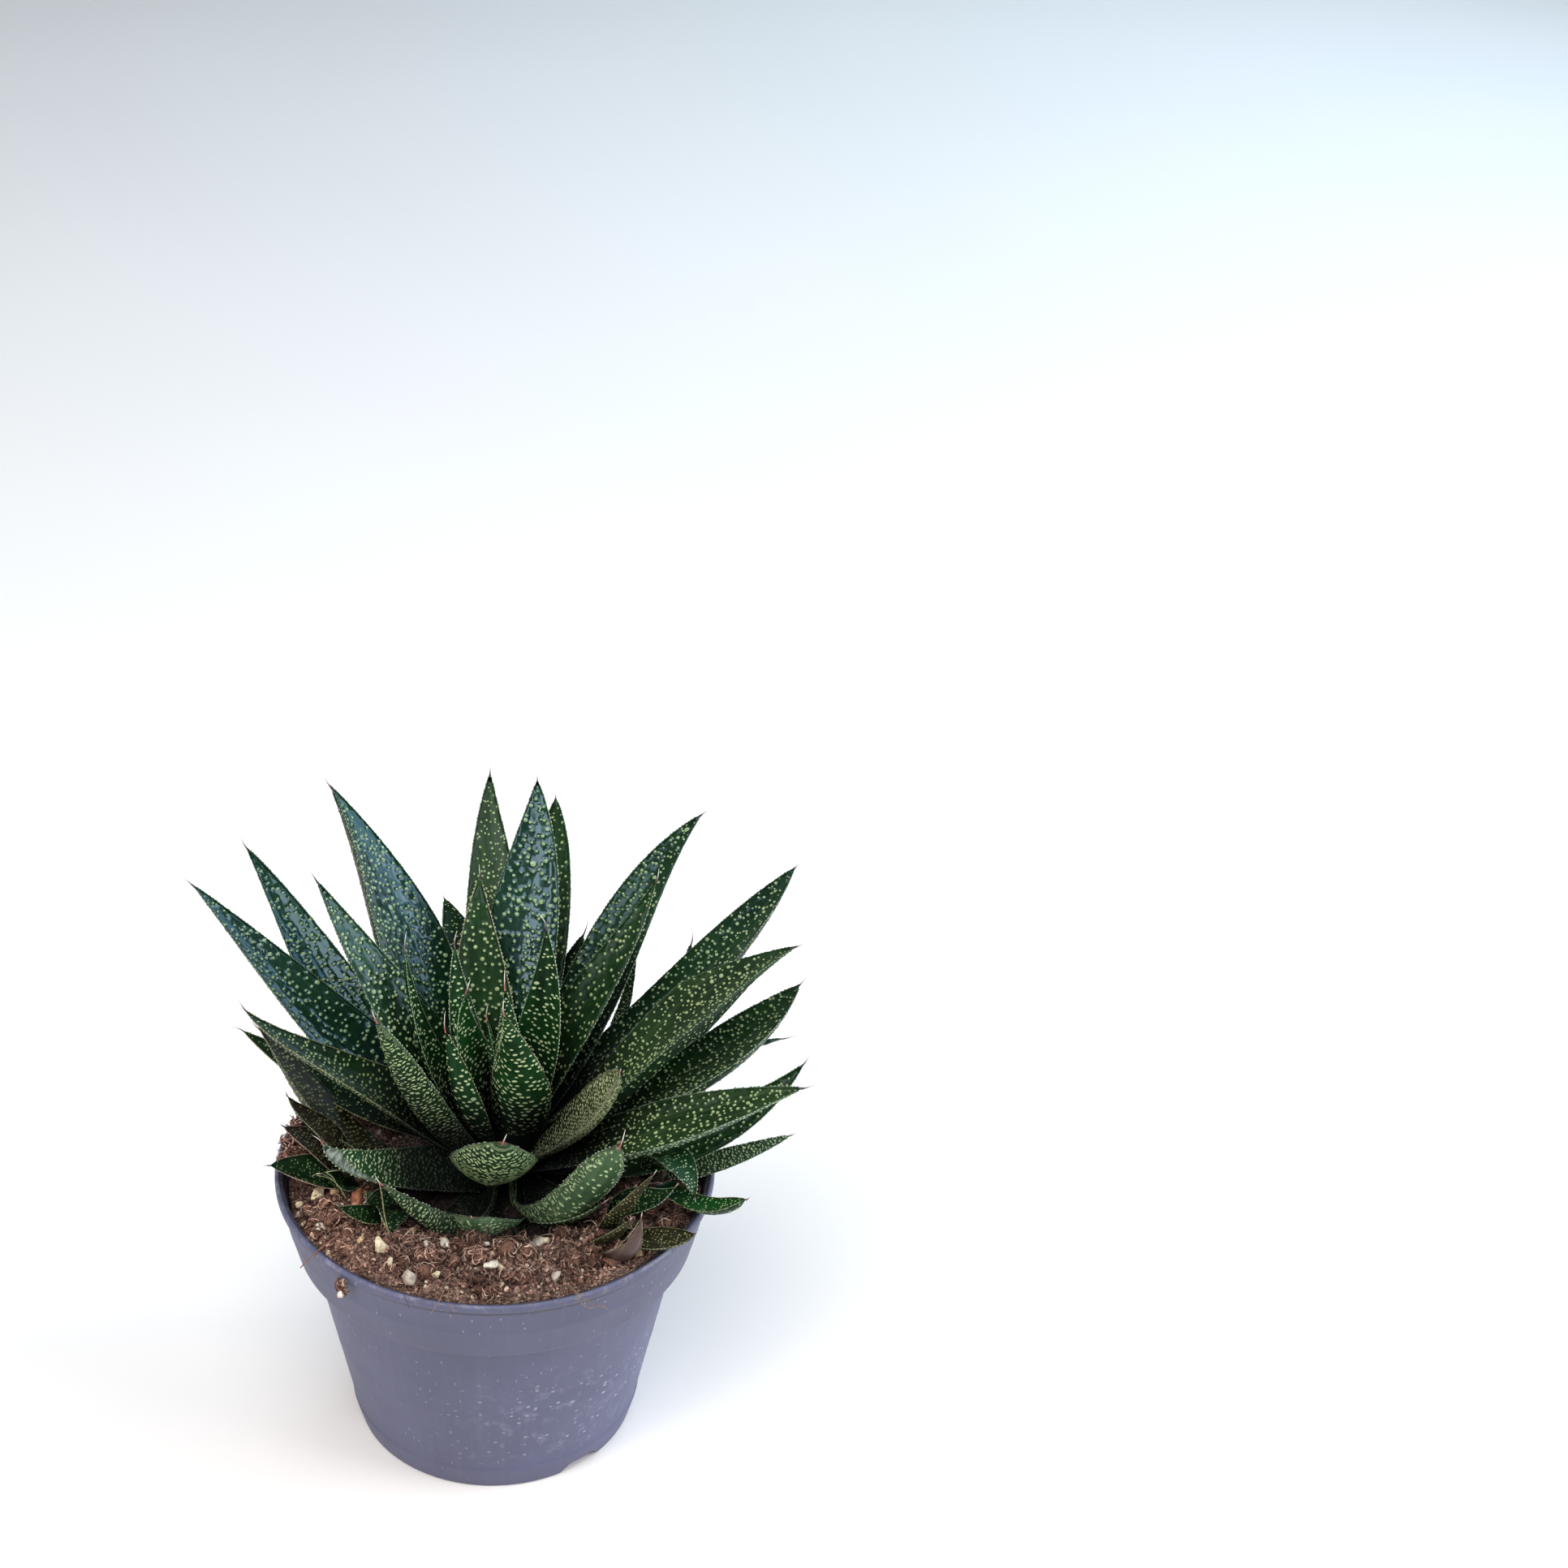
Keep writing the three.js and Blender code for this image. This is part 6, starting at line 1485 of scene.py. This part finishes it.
def build_grains():
    rng = np.random.default_rng(31)
    heap = Heap()
    places = list(GRAINS)
    kinds = [CREAM, TAN, GREY, WHITE, BARK, RUST]
    for i in range(34):        # the sides and the back, behind the leaves
        a = rng.uniform(-0.15, np.pi + 0.15)
        r = rng.uniform(26, 54)
        places.append((r * math.cos(a), r * math.sin(a), rng.uniform(0.8, 2.0), kinds[rng.choice(6, p=[0.26, 0.2, 0.16, 0.16, 0.14, 0.08])]))
    for x, y, s, tone in places:
        s *= 1.18
        r = math.hypot(x, y)
        if r + s > 56.3:
            k = (56.3 - s) / r
            x, y = x * k, y * k
        level = 3 if s > 2.6 and y < 0 else 2
        flat = tone in (RUST, BARK)
        size = np.array([1.0, rng.uniform(0.58, 0.85), rng.uniform(0.34, 0.5) if flat else rng.uniform(0.5, 0.75)]) * s
        co, f = stone(rng, size, level, 9, 0.14, 0.62)
        z = float(soil_surface(np.array([x]), np.array([y]))[0]) + 0.45 * s * (0.7 if flat else 1.0)
        heap.add(co + (x, y, z), f, np.array(tone[:3]) * rng.uniform(0.85, 1.08))
    heap.make("soil_grains", bit_material("soil_grain", 0.88, 1100.0, 0.0007))
    return heap.faces


def build_hairs():
    """Root hairs over the rim, a dry twig at the left and a clump caught on
    the lip."""
    rng = np.random.default_rng(47)
    heap = Heap()
    straw, dark = lin(150, 122, 100), lin(84, 60, 50)
    top = POT_HEIGHT

    def strand(points, r0, r1, col, sides=4, n=16):
        P = np.array(points, float)
        t = np.linspace(0, len(P) - 1, n)
        i = np.clip(t.astype(int), 0, len(P) - 2)
        f = (t - i)[:, None]
        p0, p1, p2, p3 = P[np.maximum(i - 1, 0)], P[i], P[i + 1], P[np.minimum(i + 2, len(P) - 1)]
        line = 0.5 * (2 * p1 + (p2 - p0) * f + (2 * p0 - 5 * p1 + 4 * p2 - p3) * f ** 2 + (3 * p1 - p0 - 3 * p2 + p3) * f ** 3)
        rad = np.linspace(r0, r1, n)
        ring = tube_rings(line, rad, sides, np.array([0.03, 0.02, 1.0]))
        heap.add(ring.reshape(-1, 3), tube_faces(n, sides), np.array(col[:3]) * rng.uniform(0.85, 1.15))

    # over the front lip, left of the middle
    strand([(-12.5, -50.5, 83.4), (-13.6, -54.5, 84.3), (-15.0, -58.2, 83.75), (-17.0, -60.0, 81.6)], 0.14, 0.07, straw)
    strand([(-11.0, -51.5, 83.5), (-12.5, -55.5, 84.6), (-12.0, -58.6, 83.9), (-10.6, -60.2, 82.2)], 0.12, 0.06, straw)
    strand([(-16.0, -51.0, 83.6), (-15.5, -54.0, 84.8), (-18.0, -56.8, 84.2), (-20.5, -57.0, 83.7)], 0.11, 0.06, dark)
    # root hairs that hang out over the lip, right of the middle and left
    strand([(17.5, -51.5, 84.6), (19.8, -55.2, 84.8), (22.6, -56.8, 83.5), (25.6, -55.1, 79.4), (28.0, -53.8, 77.8), (29.6, -53.0, 74.6)], 0.15, 0.08, straw, n=26)
    strand([(18.5, -52.0, 84.2), (20.6, -56.2, 84.4), (22.0, -56.9, 81.5), (24.1, -55.8, 79.0), (26.5, -54.7, 78.9), (28.9, -53.5, 76.5)], 0.13, 0.07, straw, n=26)
    strand([(-24.8, -51.5, 84.0), (-23.8, -55.0, 84.5), (-22.4, -56.6, 81.0)], 0.12, 0.06, dark)
    strand([(-31.0, -49.0, 84.0), (-30.3, -51.9, 84.3), (-28.7, -53.7, 80.8)], 0.12, 0.06, straw)
    strand([(30.0, -48.0, 83.4), (32.4, -49.6, 84.8), (35.2, -48.0, 84.9), (36.4, -45.2, 83.8)], 0.12, 0.07, straw)
    # thin twig that sticks out over the left lip
    strand([(-50.9, -40.9, 81.6), (-47.9, -37.6, 82.9), (-44.7, -35.0, 84.2), (-41.0, -31.6, 84.9)], 0.16, 0.26, lin(130, 92, 76), 5, 14)
    # dry threads over the small offset at the front left
    strand([(-30.6, -27.5, 98.8), (-29.9, -30.0, 95.8), (-29.3, -32.0, 91.4), (-28.0, -34.5, 86.4), (-27.2, -35.6, 83.8)], 0.16, 0.20, lin(150, 140, 108), 5, 20)
    strand([(-47.5, -19.5, 95.0), (-43.8, -24.0, 97.5), (-41.4, -26.0, 96.6), (-39.5, -27.0, 93.2)], 0.10, 0.14, lin(120, 124, 88), 4, 16)
    green_dry = lin(132, 142, 106)
    strand([(-49.4, -10.2, 87.2), (-48.0, -11.2, 89.0), (-46.4, -11.9, 89.6), (-44.2, -12.2, 90.5), (-42.2, -11.9, 90.5), (-40.8, -10.4, 89.0)], 0.13, 0.17, green_dry, 5, 26)
    strand([(-45.6, -12.1, 89.8), (-44.4, -13.2, 90.0), (-43.3, -14.2, 89.3), (-42.4, -14.7, 87.2)], 0.14, 0.11, green_dry, 5, 16)
    # loose threads all over
    for i in range(90):
        x, y = soil_spot(rng, 22, 52)
        a = rng.uniform(0, 2 * np.pi)
        ln = rng.uniform(4, 9)
        pts = []
        for k, u in enumerate(np.linspace(-0.5, 0.5, 4)):
            px, py = x + math.cos(a) * ln * u + rng.normal(0, 0.8), y + math.sin(a) * ln * u + rng.normal(0, 0.8)
            px, py = np.clip(px, -55, 55), np.clip(py, -55, 55)
            rr = math.hypot(px, py)
            if rr > 55.5:
                px, py = px * 55.5 / rr, py * 55.5 / rr
            pts.append((px, py, float(soil_surface(np.array([px]), np.array([py]))[0]) + (rng.uniform(0.5, 1.8) if 0 < k < 3 else 0.1)))
        strand(pts, 0.12, 0.06, straw if rng.random() < 0.6 else dark, 3, 12)
    heap.make("soil_threads", bit_material("soil_thread", 0.85, 1600.0, 0.0002))
    # loose fluff pushed up against the lip at the left, a little of it on top
    fluff = Heap()
    for i in range(330):
        a = math.radians(rng.uniform(158, 181))
        r = 52.0 + 7.6 * rng.random() ** 1.5
        over = np.clip((r - 55.6) / 3.6, 0, 1)
        base = max(float(soil_surface(np.array([min(r, 56.0) * math.cos(a)]), np.array([min(r, 56.0) * math.sin(a)]))[0]), 84.6 if over > 0 else 0.0)
        side = 1 - abs(math.degrees(a) - 169.5) / 11.5
        z = base + rng.uniform(0.0, 0.4 + 2.2 * max(side, 0) ** 0.6 * (1 - 0.62 * over))
        yaw, pitch = rng.uniform(0, 2 * np.pi), rng.normal(0, 0.6)
        d = np.array([math.cos(yaw) * math.cos(pitch), math.sin(yaw) * math.cos(pitch), math.sin(pitch)])
        u = np.linspace(-0.5, 0.5, 5)
        ln = rng.uniform(1.1, 2.6)
        up = np.cross(d, rng.normal(size=3))
        line = np.array([r * math.cos(a), r * math.sin(a), z]) + u[:, None] * ln * d + up * (rng.normal(0, 0.25) * ln * (4 * u ** 2 - 1))[:, None]
        if np.hypot(line[:, 0], line[:, 1]).max() > 60.4:
            continue
        ring = tube_rings(line, rng.uniform(0.12, 0.26) * (1 - (2 * np.abs(u)) ** 3 * 0.6), 3, np.array([0.02, 0.01, 1.0]))
        fluff.add(ring.reshape(-1, 3), tube_faces(5, 3), coir(rng, rng.uniform(0.85, 1.25)))
    for i in range(26):
        a = math.radians(rng.uniform(160, 179))
        r = rng.uniform(52.5, 56.0)
        s = rng.uniform(0.7, 1.3)
        co, f = stone(rng, np.array([1.0, 0.9, 0.8]) * s, 1, 4, 0.24)
        z = float(soil_surface(np.array([r * math.cos(a)]), np.array([r * math.sin(a)]))[0]) + rng.uniform(0.1, 1.2)
        fluff.add(co + (r * math.cos(a), r * math.sin(a), z), f, np.array(lin(122, 90, 76)[:3]) * rng.uniform(0.6, 1.1))
    fluff.make("rim_fluff", bit_material("rim_fluff", 0.92, 1700.0, 0.0003))
    # a ball of fibres that clings to the outside of the lip
    clump = Heap()
    mid = np.array([-39.9, -46.0, 79.4])
    out = np.array([mid[0], mid[1], 0.0]) / math.hypot(mid[0], mid[1])
    tang = np.array([-out[1], out[0], 0.0])
    size = np.array([1.1, 2.3, 3.0])
    co, f = stone(rng, size * 0.72, 2, 5, 0.25)
    co = (co[:, :1] * 0.6) * out + co[:, 1:2] * tang + co[:, 2:] * np.array([0, 0, 1.0])
    clump.add(co + mid, f, np.array(lin(70, 48, 40)[:3]))
    for i in range(120):
        d = rng.normal(size=3)
        d[0] = abs(d[0])
        d /= np.linalg.norm(d)
        at = mid + (out * d[0] * size[0] + tang * d[1] * size[1] + np.array([0, 0, 1.0]) * d[2] * size[2]) * rng.uniform(0.75, 1.05)
        way = out * d[0] + tang * d[1] + np.array([0, 0, 1.0]) * d[2]
        across = np.cross(way, rng.normal(size=3))
        across /= max(np.linalg.norm(across), 1e-6)
        u = np.linspace(-0.5, 0.5, 4)
        ln = rng.uniform(0.8, 1.9)
        line = at + u[:, None] * ln * across + np.cross(way, across) * (rng.normal(0, 0.3) * ln * (4 * u ** 2 - 1))[:, None]
        ring = tube_rings(line, rng.uniform(0.10, 0.20) * (1 - (2 * np.abs(u)) ** 3 * 0.6), 3, np.array([0.02, 0.01, 1.0]))
        clump.add(ring.reshape(-1, 3), tube_faces(4, 3), coir(rng, 0.8))
    co, f = stone(rng, np.array([1.5, 1.0, 1.0]), 2, 8, 0.1)
    clump.add(co + mid + out * 0.9 + np.array([0.2, 0, -1.9]), f, WHITE)
    clump.make("lip_clump", bit_material("lip_crumb", 0.9, 1300.0, 0.0005))
    return heap.faces + clump.faces + fluff.faces


bits = build_fibres() + build_crumbs() + build_grains() + build_hairs()
print("soil bits", bits)


# ------------------------------------------------------------------------ stem
def stem_material():
    t = Tree("stem_skin")
    pos = t.position()
    base = t.mix(t.ramp(t.noise(pos, 220.0, 4.0, 0.6), 0.32, 0.68), lin(34, 30, 20), lin(62, 54, 36))
    rings = t.noise(t.stretch(pos, (60.0, 60.0, 900.0)), 1.0, 3.0)
    base = t.mix(t.math("MULTIPLY", t.ramp(rings, 0.5, 0.7), 0.5), base, lin(84, 72, 52))
    n = t.bump(rings, 0.6, 0.0005)
    return t.shader(base, 0.7, n)


stem = bpy.data.objects.get("stem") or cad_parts["stem"]
stem = bpy.data.objects[stem] if isinstance(stem, str) else stem
skin = stem_material()
if not stem.data.materials:
    stem.data.materials.append(skin)
for slot_ in stem.material_slots:
    slot_.material = skin


# ----------------------------------------------------------------------- stage
def floor_material():
    t = Tree("studio_floor")
    pos = t.position()
    base = t.mix(t.ramp(t.noise(pos, 3.0, 2.0), 0.3, 0.7), lin(250, 244, 238), lin(252, 246, 240))
    n = t.bump(t.noise(pos, 900.0, 2.0), 0.04, 0.0002)
    return t.shader(base, 0.75, n, Specular_IOR_Level=0.3)


def build_stage():
    """A pale sweep: floor, wide curve, far wall, all well away."""
    prof = [(0.0, 0.0), (0.4, 0.0), (1.2, 0.0), (2.6, 0.0), (3.6, 0.0)]
    for k in range(1, 13):
        a = k / 12 * np.pi / 2
        prof.append((3.6 + 0.9 * math.sin(a), 0.9 * (1 - math.cos(a))))
    prof.append((4.5, 2.6))
    seg = 72
    co, tri = [(0, 0, 0)], []
    for r, z in prof[1:]:
        for k in range(seg):
            a = 2 * math.pi * k / seg
            co.append((r * math.cos(a) * 1000, r * math.sin(a) * 1000, z * 1000))
    for k in range(seg):
        tri.append((0, 1 + k, 1 + (k + 1) % seg))
    for j in range(len(prof) - 2):
        b0, b1 = 1 + j * seg, 1 + (j + 1) * seg
        for k in range(seg):
            k2 = (k + 1) % seg
            tri += [(b0 + k, b1 + k, b1 + k2), (b0 + k, b1 + k2, b0 + k2)]
    ob = build_mesh("studio_floor", co, tri, [floor_material()])
    return ob


build_stage()

scene = bpy.context.scene
world = bpy.data.worlds.new("soft_room")
scene.world = world
world.use_nodes = True
wn = world.node_tree
bg = wn.nodes["Background"]
bg.inputs[0].default_value = (0.86, 0.92, 1.0, 1.0)
bg.inputs[1].default_value = 0.14


def area(name, at, look, size, power, colour, size_y=None, spread=None):
    d = bpy.data.lights.new(name, "AREA")
    d.shape = "RECTANGLE"
    d.size = size
    d.size_y = size_y or size
    d.energy = power
    d.color = colour
    if spread:
        d.spread = math.radians(spread)
    ob = bpy.data.objects.new(name, d)
    ob.location = at
    v = Vector(look) - Vector(at)
    ob.rotation_euler = v.to_track_quat("-Z", "Y").to_euler()
    scene.collection.objects.link(ob)
    return ob


area("window_right", (1.45, -0.25, 0.75), (0.0, 0.0, 0.12), 1.3, 26.0, (0.90, 0.94, 1.0), 1.1)
area("sky_back", (1.0, 1.05, 1.05), (0.0, 0.0, 0.12), 1.9, 17.0, (0.50, 0.76, 1.0), 1.4)
area("sky_top", (-0.25, -0.6, 1.4), (0.0, 0.0, 0.1), 1.2, 18.0, (0.97, 0.98, 1.0))
area("fill_left", (-1.3, -0.8, 0.85), (0.0, 0.0, 0.1), 0.9, 12.6, (0.98, 0.96, 0.96))

scene.view_settings.view_transform = "Standard"
scene.view_settings.look = "None"
scene.view_settings.exposure = 0.0

# ---------------------------------------------------------------------- camera
Y, Z, YAW, PITCH, ROLL, F = 612.63589, 568.91446, 0.11877, 0.53393, 0.0606, 3454.07947
fw = Vector((math.sin(YAW) * math.cos(PITCH), math.cos(YAW) * math.cos(PITCH), -math.sin(PITCH)))
rt0 = Vector((math.cos(YAW), -math.sin(YAW), 0.0))
up0 = rt0.cross(fw)
rt = rt0 * math.cos(ROLL) + up0 * math.sin(ROLL)
up = up0 * math.cos(ROLL) - rt0 * math.sin(ROLL)
cam_data = bpy.data.cameras.new("camera")
cam_data.sensor_fit = "HORIZONTAL"
cam_data.sensor_width = 36.0
cam_data.lens = F / 1932.0 * 36.0
cam_data.clip_start = 0.02
cam_data.clip_end = 30.0
cam = bpy.data.objects.new("camera", cam_data)
m = Matrix.Identity(4)
for col, v in enumerate((rt, up, -fw)):
    for row_ in range(3):
        m[row_][col] = v[row_]
m.translation = Vector((0.0, -Y * MM, Z * MM))
cam.matrix_world = m
scene.collection.objects.link(cam)
scene.camera = cam

bpy.context.view_layer.update()
